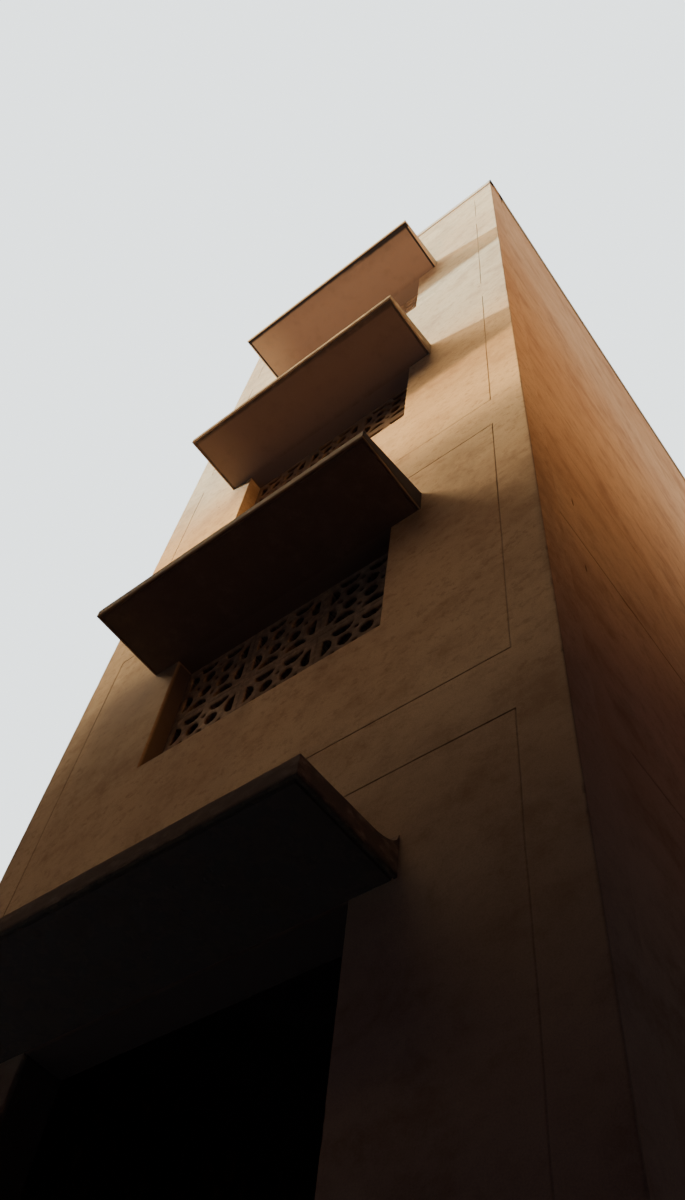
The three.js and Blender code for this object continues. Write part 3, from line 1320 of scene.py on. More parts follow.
    def grime(self, points: Points) -> np.ndarray:
        """Dirt at the foot, the top, below the sills and in the reveals; darker just under and
        beside each canopy and round the lowest one's ends; painted shade on the faces inside the
        tower.

        Args:
            points: the piece's points.

        Returns:
            How dirty or shaded each point is.
        """
        x, y, z = points.T
        across = np.abs(x)
        on_front = smooth_step(y, self.front + 0.05, self.front)
        dirt = self.top_dirt.at(self.top - z) + self.foot_dirt.at(z)
        runs = np.clip(line_relief(77, 0.16, x) + 0.1, 0.0, 1.0) * (across < self.jamb)
        for soffit, sill in zip(self.soffits, self.sills):
            drop = soffit - z
            beside = hump(across, self.canopy_end, 0.05) * self.beside_canopy.at(drop)
            under = smooth_step(across, self.canopy_end + 0.02, self.canopy_end - 0.06)
            under = under * self.under_canopy.at(drop)
            wash = runs * self.sill_wash.at(sill - z) * (z < sill + self.touch / 2)
            dirt += on_front * ((beside + under) * (drop > -self.touch) + wash)
        halo = hump(across, 1.55, 0.30) * hump(z, self.soffits[0] + 0.3, 0.55)
        dirt += self.canopy_halo * on_front * halo
        on_side = smooth_step(x, self.half_width - 0.05, self.half_width)
        by_corner = smooth_step(y, self.front + 0.55, self.front + 0.05)
        dirt += self.corner_dirt * on_side * by_corner * hump(z, 6.9, 1.2)
        return dirt + self.reveal_dirt * self.reveal(points, 0.02, 0.10) + self.interior(points)

    def reveal(self, points: Points, start: float, full: float) -> np.ndarray:
        """How far inside the front wall's openings: 0 at start behind its face, 1 from full on.

        Args:
            points: the piece's points.
            start: depth at which it starts.
            full: depth from which it is whole.

        Returns:
            The share at each point.
        """
        x, y, _ = points.T
        inside = (np.abs(x) < self.jamb + self.touch / 2) * (y < self.front_back + self.touch)
        return smooth_step(y, self.front + start, self.front + full) * inside

    def interior(self, points: Points) -> np.ndarray:
        """1 on the faces that look into the tower: painted shade that keeps the inside dark.

        Args:
            points: the piece's points.

        Returns:
            The share at each point.
        """
        x, y, z = points.T
        deep = np.minimum(self.half_width - np.abs(x), np.minimum(y - self.front, self.back - y))
        return smooth_step(deep, 0.20, 0.24) * (z < self.soffits[-1] + 1.0)

    def brown(self, points: Points) -> np.ndarray:
        """Painted shade: opening heads browned to match the canopies' soffits, the lowest window's
        reveals, and the wall below its canopy's ends.

        Args:
            points: the piece's points.

        Returns:
            How deep the painted shade is at each point.
        """
        x, y, z = points.T
        heads = np.array([self.entrance_head, *self.soffits])
        over = (np.abs(x) < self.jamb + 0.001) * (np.abs(z[:, None] - heads).min(axis=1) < 0.002)
        over = over * (y < self.front_back + self.touch)
        # painted shade below the lowest canopy's ends, standing in for its soft shadow
        drop = self.soffits[0] - z
        stain = self.long_stain.at(drop) + 0.44 * smooth_step(drop, 1.5, 0.5)
        stain = stain + 0.20 * smooth_step(drop, 0.60, 0.15)
        stain = stain * smooth_step(np.abs(x), 2.15, 1.5) * smooth_step(drop, -0.5, 0.1)
        stain = stain * (0.9 + 0.25 * Relief(88, (0.18, 0.18, 0.30), 3).at(points))
        stain = stain * (y < self.front + self.touch)
        amount = sum(strength * (x * side > 0.0) for side, strength in self.end_stains)
        # painted shade on the lowest window's reveals
        by_window = np.abs(z - (self.sills[0] + self.soffits[0]) / 2) < 0.7
        worn = self.reveal_brown * self.reveal(points, 0.015, 0.03) * by_window
        return np.maximum(np.maximum(over, worn), stain * amount)

    def sooty(self, points: Points) -> np.ndarray:
        """Painted shade on the reveals of the lowest window and the entrance, deeper towards the
        canopies.

        Args:
            points: the piece's points.

        Returns:
            How deep the painted shade is at each point.
        """
        z = points[:, 2]
        inside = (z > self.sills[0] - 0.01) * (z < self.soffits[0] - 0.002)
        window = (0.45 + 0.45 * smooth_step(z, self.sills[0], self.soffits[0])) * inside
        entrance = smooth_step(z, 2.6, 3.8) * (z < self.entrance_head + self.touch / 2)
        sooty = np.maximum(window, self.entrance_soot * entrance)
        return sooty * self.reveal(points, 0.008, 0.02)

    def smudged(self, points: Points) -> np.ndarray:
        """How strong the small smudges are: weak on the sheltered low part."""
        return 0.30 + 0.70 * smooth_step(points[:, 2], 4.4, 6.6)

    def chalk(self, points: Points) -> np.ndarray:
        """Two pale lime drips under the lowest window.

        Args:
            points: the piece's points.

        Returns:
            How chalky each point is.
        """
        x, _, z = points.T
        drop = self.sills[0] - z
        marks = np.zeros(len(points))
        for number, place in enumerate(self.drip_places):
            length = 0.42 - 0.14 * number
            ends = smooth_step(drop, 0.10, 0.18) * smooth_step(drop, 0.12 + length, length)
            marks += hump(x, place, 0.016) * ends
        return marks

    def place(self, skin: WallSkin, finish: bpy.types.Material) -> None:
        """Makes one wall, marks its dirt, its painted shade, its chalk and its deeper painted
        shade, and places it.

        Args:
            skin: the wall.
            finish: its material.
        """
        mesh = skin.build()
        points = mesh_points(mesh)
        add_marks(mesh, grime=self.grime(points), brown=self.brown(points),
                  chalk=self.chalk(points), smudged=self.smudged(points), sooty=self.sooty(points))
        place_piece(mesh, finish, skin.nodes)

    def build(self) -> None:
        """Makes and places the four walls."""
        jamb = self.jamb
        spans = [(-0.1, self.entrance_head), *zip(self.sills, self.soffits)]
        openings = tuple((-jamb, jamb, sill, head) for sill, head in spans)
        over = ("entrance", "lower_window", "middle_window", "upper_window")
        front_nodes = ("front_left_pier", "front_right_pier",
                       *(f"front_wall_over_{opening}" for opening in over))
        scars = tuple(Scar(*scar, 950 + number) for number, scar in enumerate(self.side_scars))
        front = WallSkin("front_wall", front_nodes, Side.FRONT, 0.10, 0.022, openings,
                         self.grooves(100), self.corner_arrises(210) + self.jamb_arrises(),
                         worn_ends=True)
        rear = WallSkin("rear_wall_render", ("rear_wall",), Side.REAR, 0.12, 0.06, (),
                        self.grooves(1100), self.corner_arrises(260), worn_ends=True)
        right = WallSkin("right_wall_render", ("right_wall",), Side.RIGHT, 0.075, 0.075, (),
                         self.side_grooves(), scars=scars)
        left = WallSkin("left_wall_render", ("left_wall",), Side.LEFT, 0.09, 0.09, (),
                        self.side_grooves())
        for skin, finish in ((front, self.finish), (rear, self.finish), (right, self.side_finish),
                             (left, self.side_finish)):
            self.place(skin, finish)


# Canopies, coping and floors

@dataclass
class Slab:
    """A slab lying level: a top sheet and a soffit sheet over one rectangle, with worn edges.

    Along its free edges both sheets turn in by a quarter round, and the soffit may carry a drip
    groove at a fixed distance from the free edges. rise gives the top's height over the node's
    lowest point, as a function of the distance from the wall.
    """

    name: str
    node: str
    step: float
    radius: float = 0.006
    chip: float = 0.008
    swell: float = 0.0015
    drip_inset: float = 0.0
    drip_width: float = 0.024
    drip_depth: float = 0.012
    free_back: bool = False
    rise: Callable[[np.ndarray], np.ndarray] | None = None
    bands: tuple[float, ...] = (0.25, 0.5, 0.75)
    edge_steps: tuple[float, ...] = (0.0, 0.0015, 0.004, 0.008, 0.014, 0.024)
    extra_x: np.ndarray = field(default_factory=lambda: np.zeros(0))
    extra_y: np.ndarray = field(default_factory=lambda: np.zeros(0))

    def round_depth(self, distance: np.ndarray, points: Points, seed: int) -> np.ndarray:
        """Depth of the worn quarter round at a distance from the edge.

        Args:
            distance: how far each point lies from the edge.
            points: the points.
            seed: start of the random relief.

        Returns:
            The depth at each point.
        """
        chips = np.clip(Relief(seed, (0.09, 0.09, 0.09), 2).at(points) - 0.25, 0.0, 1.0)
        slow = Relief(seed + 1, (0.4, 0.4, 0.4), 2).at(points)
        radius = self.radius * (1.0 + 0.3 * slow) + self.chip * chips
        left = np.clip(radius - distance, 0.0, radius)
        return radius - np.sqrt(np.maximum(radius * radius - left * left, 0.0))

    def build(self) -> bpy.types.Mesh:
        """Works out the top, the soffit and the edge faces.

        Returns:
            The slab's mesh.
        """
        low, high = box_of(self.node)
        near = np.array(self.edge_steps)
        if self.drip_inset:
            drip = self.drip_inset + self.drip_width * np.array([-1.0, -0.5, -0.25, 0.25, 0.5, 1.0])
            near = np.concatenate([near, drip])
        y_features = [low[1] + near, self.extra_y]
        if self.free_back:
            y_features.append(high[1] - near)
        if self.rise is not None:
            y_features.append(high[1] - 0.18 * np.linspace(0.0, 1.0, 13))
        x_features = [low[0] + near, high[0] - near, self.extra_x]
        x_lines = grid_lines(low[0], high[0], self.step, x_features)
        y_lines = grid_lines(low[1], high[1], self.step, y_features)
        x, y = np.meshgrid(x_lines, y_lines, indexing="ij")
        top_points = np.stack([x, y, np.full_like(x, high[2])], axis=-1)
        base_points = np.stack([x, y, np.full_like(x, low[2])], axis=-1)
        if self.rise is not None:
            top_points[..., 2] = low[2] + self.rise(high[1] - y)
        edge = edge_distance(base_points, low, high)
        if self.free_back:
            edge = np.minimum(edge, high[1] - y)
        calm = smooth_step(edge, 0.0, 0.10)
        if not self.free_back:
            calm = calm * smooth_step(high[1] - y, 0.0, 0.10)
        top_points[..., 2] -= self.round_depth(edge, top_points, 610)
        slow = 0.5 + 0.5 * Relief(620, (0.5, 0.3, 0.5), 3).at(top_points)
        top_points[..., 2] -= self.swell * calm * slow
        base_points[..., 2] += self.round_depth(edge, base_points, 640)
        slow = 0.5 + 0.5 * Relief(650, (0.7, 0.4, 0.5), 3).at(base_points)
        base_points[..., 2] += self.swell * calm * slow
        if self.drip_inset:
            off = np.abs(edge - self.drip_inset) / self.drip_width
            base_points[..., 2] += self.drip_depth * (1.0 - smooth_step(off, 0.3, 0.55))
        keep = np.ones((len(x_lines) - 1, len(y_lines) - 1), bool)
        plate = Plate(top_points, base_points, keep, self.bands, plain_inner=False)
        return plate.mesh(self.name)


@dataclass(frozen=True)
class CanopyWear:
    """How aged one canopy is, as shares.

    Attributes:
        ageing: greyed paint on the edge faces, lightened as painted skylight.
        line: soot in the drip groove and behind the front edge.
        front_soot: soot on the front edge face.
        end_soot: painted shade on the two end faces.
        soffit_soot: painted shade over the whole underside.
    """

    ageing: float
    line: float
    front_soot: float
    end_soot: float
    soffit_soot: float


@dataclass
class Canopies:
    """Three sloped window canopies and the thick entrance canopy with its cove."""

    finish: bpy.types.Material
    edge: float = 0.082
    root: float = 0.240
    entrance_edge: float = 0.124
    entrance_flat_rise: float = 0.012
    cove_reach: float = 0.180
    drip_inset: float = 0.024
    drip_width: float = 0.016
    drip_depth: float = 0.010
    lip: tuple[float, float] = (0.010, 0.016)
    stain_reach: float = 0.048
    stain_growth: float = 0.028
    stain_border: float = 0.012
    haze: float = 0.22
    top_dust: float = 0.28
    # columns: edge ageing (partly painted skylight), soot line, front soot, painted shade on the
    # ends, painted shade over the soffit
    wear: dict[str, CanopyWear] = field(default_factory=lambda: {
        "entrance_canopy": CanopyWear(0.0, 0.5, 0.45, 0.65, 0.95),
        "lower_window_canopy": CanopyWear(1.0, 0.35, 0.0, 1.0, 0.26),
        "middle_window_canopy": CanopyWear(0.6, 0.6, 0.78, 0.74, 0.0),
        "upper_window_canopy": CanopyWear(0.5, 1.0, 0.0, 0.32, 0.0)})

    def sloped(self, reach: float) -> Callable[[np.ndarray], np.ndarray]:
        """A top that falls in one straight line from the root to the edge."""
        return lambda out: self.root + (self.edge - self.root) * out / reach

    def coved(self, reach: float) -> Callable[[np.ndarray], np.ndarray]:
        """A nearly level top that sweeps up a hollow quarter ellipse to the wall.

        Args:
            reach: how far the canopy stands out.

        Returns:
            The height over the soffit, by the distance from the wall.
        """
        foot = self.entrance_edge + self.entrance_flat_rise

        def height(out: np.ndarray) -> np.ndarray:
            """Height over the soffit at a distance out from the wall."""
            share = np.clip(1.0 - out / self.cove_reach, 0.0, 1.0)
            sweep = 1.0 - np.sqrt(np.maximum(1.0 - share * share, 0.0))
            flat = np.clip(out - self.cove_reach, 0.0, None) / (reach - self.cove_reach)
            return foot - self.entrance_flat_rise * flat + (self.root - foot) * sweep

        return height

    def grime(self, points: Points, low: Points, high: Points, wear: CanopyWear) -> np.ndarray:
        """Soot in the drip groove and along the front, more to the right, and dust on the top;
        painted shade where the soffit meets the wall, on the end faces and over the whole
        underside.

        Args:
            points: the piece's points.
            low: its lowest corner.
            high: its highest corner.
            wear: how aged it is.

        Returns:
            How sooty, dusty or shaded each point is.
        """
        x, y, z = points.T
        out, over = y - low[1], z - low[2]
        ends = np.minimum(x - low[0], high[0] - x)
        edge = edge_distance(points, low, high)
        soffit = smooth_step(over, 0.020, 0.012)
        off = np.abs(edge - self.drip_inset) / self.drip_width
        share = np.clip((x - low[0]) / (high[0] - low[0]), 0.0, 1.0)
        reach = self.stain_reach + self.stain_growth * share**3
        stain = smooth_step(out, reach + self.stain_border, reach) * (out > 0.6 * self.drip_inset)
        haze = self.haze * smooth_step(out, 0.24, 0.05) * (0.3 + 0.7 * share)
        line = wear.line * soffit * highest(out, (smooth_step(off, 0.8, 0.45), stain, haze))
        # painted shade where the soffit meets the wall
        wall = 0.25 * soffit * smooth_step(high[1] - y, 0.07, 0.0)
        top = self.top_dust * smooth_step(over, 0.05, 0.075) * smooth_step(edge, 0.004, 0.012)
        # painted shade on the end faces
        on_end = smooth_step(ends, 0.006, 0.001) * wear.end_soot
        on_front = smooth_step(out, 0.006, 0.001) * wear.front_soot
        # painted shade over the underside, deepest for the lowest canopies
        inside = smooth_step(edge, *self.lip) if wear.ageing else 1.0
        under = soffit * inside * wear.soffit_soot
        return highest(line, (line, wall + top, on_end, on_front, under))

    def brown(self, points: Points, low: Points, high: Points) -> np.ndarray:
        """Painted shade browning the soffit, inside a lip left pale, and less at the left end.

        Args:
            points: the piece's points.
            low: its lowest corner.
            high: its highest corner.

        Returns:
            How deep the painted shade is at each point.
        """
        share = (points[:, 0] - low[0]) / (high[0] - low[0])
        inside = smooth_step(points[:, 2] - low[2], 0.014, 0.008)
        inside = inside * smooth_step(edge_distance(points, low, high), *self.lip)
        return inside * (1.0 - 0.22 * smooth_step(share, 0.25, 0.0))

    def weather(self, points: Points, low: Points, high: Points, ageing: float) -> np.ndarray:
        """Greyed paint on the free edge faces, lightened as painted skylight."""
        on_edge = smooth_step(edge_distance(points, low, high), 0.012, 0.002)
        return ageing * on_edge * smooth_step(points[:, 2] - low[2], 0.002, 0.010)

    def build(self) -> None:
        """Makes and places the four canopies."""
        for name, wear in self.wear.items():
            low, high = box_of(name)
            reach = float(high[1] - low[1])
            rise = self.coved(reach) if name == "entrance_canopy" else self.sloped(reach)
            mesh = Slab(f"{name}_slab", name, 0.022, drip_inset=self.drip_inset,
                        drip_width=self.drip_width, drip_depth=self.drip_depth, rise=rise).build()
            points = mesh_points(mesh)
            add_marks(mesh, grime=self.grime(points, low, high, wear),
                      brown=self.brown(points, low, high),
                      weather=self.weather(points, low, high, wear.ageing))
            place_piece(mesh, self.finish, (name,))


@dataclass
class Coping:
    """Four lengths of cement coping, with smears of tar at the front's right corner; the right one
    is bluish grey as a painted sky sheen.
    """

    finish: bpy.types.Material
    side_finish: bpy.types.Material
    tar_blobs: tuple[tuple[float, float, float], ...] = ((0.035, 0.075, 0.22), (0.26, 0.065, 0.17))
    tar_line: float = 0.030
    edge_line: float = 0.006
    nub: tuple[float, float, float] = (0.15, 0.045, 0.020)
    fine_step: float = 0.008
    bands: tuple[float, ...] = (0.06, 0.12, 0.18, 0.24, 0.32, 0.5, 0.75)

    def tar(self, points: Points, corner: Points) -> np.ndarray:
        """Tar over the outer top edges: its height down the face follows a few humps.

        Args:
            points: the coping's points.
            corner: the tower's front right top corner.

        Returns:
            1 where the tar is, 0 elsewhere.
        """
        x, y, z = points.T
        drop = corner[2] - z
        along = y - corner[1]
        ragged = 1.0 + 0.35 * Relief(850, (0.03, 0.03, 0.03), 2).at(points)
        height = sum(top * hump(along, middle, reach) for middle, reach, top in self.tar_blobs)
        height = height + self.tar_line * smooth_step(along, 0.36, 0.30)
        on_right = smooth_step(x, corner[0] - 0.030, corner[0] - 0.015)
        low_edge = height * ragged
        smear = on_right * smooth_step(drop, low_edge + 0.003, low_edge - 0.003) * (height > 0.002)
        rim = 0.55 * on_right * smooth_step(drop, self.edge_line * 1.5, self.edge_line * 0.5)
        rim = rim * smooth_step(along, 1.1, 0.5)
        middle, reach, top = self.nub
        inward = corner[0] - x
        front_height = top * hump(inward, middle, reach) + 0.06 * hump(inward, 0.0, 0.035)
        low_edge = front_height * ragged
        on_front = smooth_step(y, corner[1] + 0.030, corner[1] + 0.015)
        nub = on_front * smooth_step(drop, low_edge + 0.002, low_edge - 0.003)
        return np.maximum(np.maximum(smear, rim), nub * (front_height > 0.004))

    def build(self) -> None:
        """Makes and places the four lengths."""
        low, high = box_of("front_coping")
        corner = np.array([high[0], low[1], high[2]])
        for name in ("front_coping", "rear_coping", "left_coping", "right_coping"):
            low, high = box_of(name)
            slab = Slab(f"{name}_cement", name, 0.04, radius=0.007, chip=0.014, swell=0.003,
                        free_back=True, bands=self.bands)
            if name == "right_coping":
                slab.extra_y = low[1] + np.arange(0.0, 0.34, self.fine_step)
            if name == "front_coping":
                slab.extra_x = high[0] - np.arange(0.0, 0.26, self.fine_step)
            mesh = slab.build()
            points = mesh_points(mesh)
            z = points[:, 2]
            top = smooth_step(z, high[2] - 0.009, high[2] - 0.003) * 0.40
            # painted shade under the overhang
            under = smooth_step(z, low[2] + 0.02, low[2]) * 0.08
            add_marks(mesh, grime=top + under, tar=self.tar(points, corner))
            # the right length takes the bluish painted sky sheen
            finish = self.side_finish if name == "right_coping" else self.finish
            place_piece(mesh, finish, (name,))


@dataclass
class Floors:
    """Floor slabs between the walls, the roof screed and the worn threshold."""

    finish: bpy.types.Material

    def build(self) -> None:
        """Gives the hidden floors their finish and makes the roof screed and the threshold."""
        for name in ("ground_floor_slab", *(f"{storey}_window_floor_slab" for storey in STOREYS)):
            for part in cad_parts[name].material_slots:
                part.material = self.finish
            LOG.info("%s: carried over", name)
        for name, radius in (("roof_slab", 0.004), ("entrance_threshold", 0.012)):
            slab = Slab(f"{name}_screed", name, 0.06, radius=radius, chip=0.012, swell=0.005,
                        free_back=True)
            place_piece(slab.build(), self.finish, (name,))


# Screens

@dataclass
class ScreenBlock:
    """A cast block with round holes, dots and half ellipses, cut out of a snapped grid.

    hole_distance is the distance to the nearest hole edge, below 0 inside a hole. Cells whose
    middle is inside a hole are left out, and the points on the ragged border left behind are moved
    down the slope of that distance until they lie on the hole's edge.
    """

    node: str
    seed: int
    step: float = 0.0088
    rim: float = 0.048
    hole_radius: float = 0.055
    hole_offset: float = 0.085
    dot_radius: float = 0.018
    centre_dot_radius: float = 0.021
    dot_across: float = 0.174
    dot_up: float = 0.163
    fan_offset: float = 0.121
    fan_half_width: float = 0.087
    fan_depth: float = 0.080
    arris: float = 0.006
    joint: float = 0.004
    joint_depth: float = 0.0015
    swell: float = 0.0012
    # painted shade over the block's face
    soot: float = 0.0

    def __post_init__(self) -> None:
        """Reads the block's place from the frame."""
        self.low, self.high = box_of(self.node)
        self.half_x, _, self.half_z = (self.high - self.low) / 2

    def hole_distance(self, x: np.ndarray, z: np.ndarray) -> np.ndarray:
        """Distance to the nearest hole edge by the shapes' own formulas, from the middle.

        Args:
            x: places across, from the middle.
            z: heights, from the middle.

        Returns:
            The distance, below 0 inside a hole.
        """
        ax, az = np.abs(x), np.abs(z)
        nearest = np.hypot(ax - self.hole_offset, az - self.hole_offset) - self.hole_radius
        nearest = np.minimum(nearest, np.hypot(ax, az) - self.centre_dot_radius)
        nearest = np.minimum(nearest, np.hypot(ax - self.dot_across, az) - self.dot_radius)
        nearest = np.minimum(nearest, np.hypot(ax, az - self.dot_up) - self.dot_radius)
        for along, out, half in ((ax, az, self.half_z), (az, ax, self.half_x)):
            edge = half - self.rim
            share_along = (along - self.fan_offset) / self.fan_half_width
            share_out = (out - edge) / self.fan_depth
            ellipse = (np.hypot(share_along, share_out) - 1.0) * self.fan_depth
            nearest = np.minimum(nearest, np.maximum(ellipse, out - edge))
        return nearest

    def slope(self, x: np.ndarray, z: np.ndarray) -> tuple[np.ndarray, np.ndarray]:
        """Slope of the hole distance, by small steps both ways.

        Args:
            x: places across, from the middle.
            z: heights, from the middle.

        Returns:
            The slopes along x and along z.
        """
        tiny = 1e-4
        slope_x = self.hole_distance(x + tiny, z) - self.hole_distance(x - tiny, z)
        slope_z = self.hole_distance(x, z + tiny) - self.hole_distance(x, z - tiny)
        return slope_x / (2 * tiny), slope_z / (2 * tiny)

    def snapped(self, x: np.ndarray, z: np.ndarray,
                border: np.ndarray) -> tuple[np.ndarray, np.ndarray]:
        """Moves the border points down the slope until they lie on a hole's edge.

        Args:
            x: places across, from the middle.
            z: heights, from the middle.
            border: which points lie on the border.

        Returns:
            The moved x and z.
        """
        for _ in range(5):
            gap = self.hole_distance(x, z)
            slope_x, slope_z = self.slope(x, z)
            steep = np.maximum(slope_x**2 + slope_z**2, 0.2)
            x = np.where(border, x - gap * slope_x / steep, x)
            z = np.where(border, z - gap * slope_z / steep, z)
        return x, z

    def build(self) -> bpy.types.Mesh:
        """Works out the pierced face, the back and the walls of the holes.

        Returns:
            The block's mesh.
        """
        lines = []
        for half in (self.half_x, self.half_z):
            joints = np.array([self.joint - half, half - self.joint])
            lines.append(grid_lines(-half, half, self.step, [joints]))
        x, z = np.meshgrid(*lines, indexing="ij")
        middle_x, middle_z = ((across[1:, 1:] + across[:-1, :-1]) / 2 for across in (x, z))
        keep = self.hole_distance(middle_x, middle_z) > 0.0
        solid = np.pad(keep, 1, constant_values=True)
        around = np.stack([solid[:-1, :-1], solid[1:, :-1], solid[:-1, 1:], solid[1:, 1:]])
        border = around.any(axis=0) & ~around.all(axis=0)
        x, z = self.snapped(x, z, border)
        distance = np.where(border, 0.0, self.hole_distance(x, z))
        rim = np.minimum(self.half_x - np.abs(x), self.half_z - np.abs(z))
        placed_x, placed_z = x + (self.low[0] + self.half_x), z + (self.low[2] + self.half_z)
        front = np.stack([placed_x, np.full_like(x, self.low[1]), placed_z], axis=-1)
        worn = self.arris * (1.0 + 0.5 * Relief(self.seed, (0.15, 0.15, 0.15), 2).at(front))
        recess = worn * smooth_step(distance, 0.007, 0.0)
        recess += self.joint_depth * smooth_step(rim, self.joint, 0.0)
        recess += self.swell * (1.0 + Relief(self.seed + 5, (0.12, 0.12, 0.12), 3).at(front))
        front[..., 1] += recess
        back = np.stack([placed_x, np.full_like(x, self.high[1]), placed_z], axis=-1)
        return Plate(front, back, keep, (0.2, 0.6), plain_inner=False).mesh(f"{self.node}_block")

    def grime(self, points: Points) -> np.ndarray:
        """Painted shade over the face of the lowest screens and on the walls of the holes, and dust
        at the block's joints.

        Args:
            points: the piece's points.

        Returns:
            How dusty or shaded each point is.
        """
        edge = np.minimum(points - self.low, self.high - points)[:, [0, 2]].min(axis=1)
        deep = smooth_step(points[:, 1], self.low[1] + 0.006, self.low[1] + 0.05)
        # painted shade deep in the holes
        return self.soot + 0.2 * smooth_step(edge, 0.010, 0.0) + 1.6 * deep


@dataclass
class Screens:
    """The three window screens, each two rows of three cast blocks; the lowest has the deepest
    painted shade.
    """

    finish: bpy.types.Material
    # painted shade over the lowest screens' faces
    soot: dict[str, float] = field(default_factory=lambda: {"lower": 0.52})

    def build(self) -> dict[str, list[bpy.types.Object]]:
        """Makes and places the eighteen blocks, and lists them by storey.

        Returns:
            The blocks of each storey.
        """
        made: dict[str, list[bpy.types.Object]] = {storey: [] for storey in STOREYS}
        names = [(storey, f"{storey}_screen_{row}_{column}") for storey in STOREYS
                 for row in ("bottom", "top") for column in ("left", "middle", "right")]
        for number, (storey, name) in enumerate(names):
            block = ScreenBlock(name, 700 + 13 * number, soot=self.soot.get(storey, 0.0))
            mesh = block.build()
            add_marks(mesh, grime=block.grime(mesh_points(mesh)))
            made[storey].append(place_piece(mesh, self.finish, (name,)))
        return made


# Studio

@dataclass(frozen=True)
class Flag:
    """An upright board that keeps a lamp off the part of a wall below its top edge.

    Attributes:
        side: the wall that it stands in front of.
        cut: height on the wall at which half of the lamp is hidden.
        stand_off: how far from the wall it stands, which sets how soft its shadow edge is.
        slant: rise of cut for each metre along the wall, from the wall's middle.
        start: where along the wall it starts, so that the light past it reaches the next wall.
    """

    side: Side
    cut: float
    stand_off: float
    slant: float = 0.0
    start: float = -20.0

    def build(self, name: str, travel: Sequence[float], face: float) -> bpy.types.Object:
        """Adds the board, over whose top the light just passes that meets the wall at cut.

        Args:
            name: name of the board.
            travel: direction in which the light travels.
            face: where the wall's face lies along its outward direction.

        Returns:
            The board, which only shadow rays see.
        """
        along, outward = self.side.along, self.side.outward
        step = np.array(travel)
        back = self.stand_off / float(-step @ outward)
        shift, lift = float(-step @ along) * back, -float(step[2]) * back
        spread = 4.0 + 1.6 * self.stand_off
        base = min(0.0, lift) - 1.0 - self.stand_off
        start = max(self.start, -spread)
        plane = (face + self.stand_off) * outward
        right_top, left_top = (self.cut + self.slant * u + lift for u in (spread, start))
        ends = ((start, base), (spread, base), (spread, right_top), (start, left_top))
        corners = [(u + shift) * along + plane + z * UP for u, z in ends]
        mesh = bpy.data.meshes.new(name)
        mesh.from_pydata(np.array(corners).tolist(), [], [(0, 1, 2, 3)])
        board = bpy.data.objects.new(name, mesh)
        board.visible_camera = False
        board.visible_diffuse = False
        board.visible_glossy = False
        board.visible_transmission = False
        bpy.context.scene.collection.objects.link(board)
        return board


@dataclass(frozen=True)
class Lamp:
    """A parallel lamp, soft by its width as an angle in degrees, with a flag where it has to fade.

    skips names the storeys whose screens it leaves out.
    """

    name: str
    travel: tuple[float, float, float]
    softness: float
    strength: float
    tint: Colour
    flag: Flag | None = None
    skips: tuple[str, ...] = ()

    def build(self) -> bpy.types.Object:
        """Adds the lamp.

        Returns:
            The lamp's object.
        """
        lamp = bpy.data.lights.new(self.name, "SUN")
        lamp.energy = self.strength
        lamp.color = self.tint
        lamp.angle = math.radians(self.softness)
        holder = bpy.data.objects.new(self.name, lamp)
        holder.rotation_mode = "QUATERNION"
        holder.rotation_quaternion = Vector(self.travel).to_track_quat("-Z", "Y")
        holder.location = Vector((0.0, 0.0, 25.0)) - 12.0 * Vector(self.travel)
        bpy.context.scene.collection.objects.link(holder)
        return holder


def link_list(name: str, state: str, members: Sequence[bpy.types.Object]) -> bpy.types.Collection:
    """A lamp's list of objects: these alone with INCLUDE, all but these with EXCLUDE.

    Args:
        name: name of the list.
        state: INCLUDE or EXCLUDE.
        members: the objects.

    Returns:
        The list, as a collection.
    """
    group = bpy.data.collections.new(name)
    for member in members:
        group.objects.link(member)
    for entry in group.collection_objects:
        entry.light_linking.link_state = state
    return group


SUN = (0.717, 0.2646, -0.333)
SKY = (0.15, 0.75, -0.6)
GROUND = (0.1, 0.4, 0.91)
FROM_RIGHT = (-0.95, -0.05, 0.05)
SHADED = ("lower", "middle")


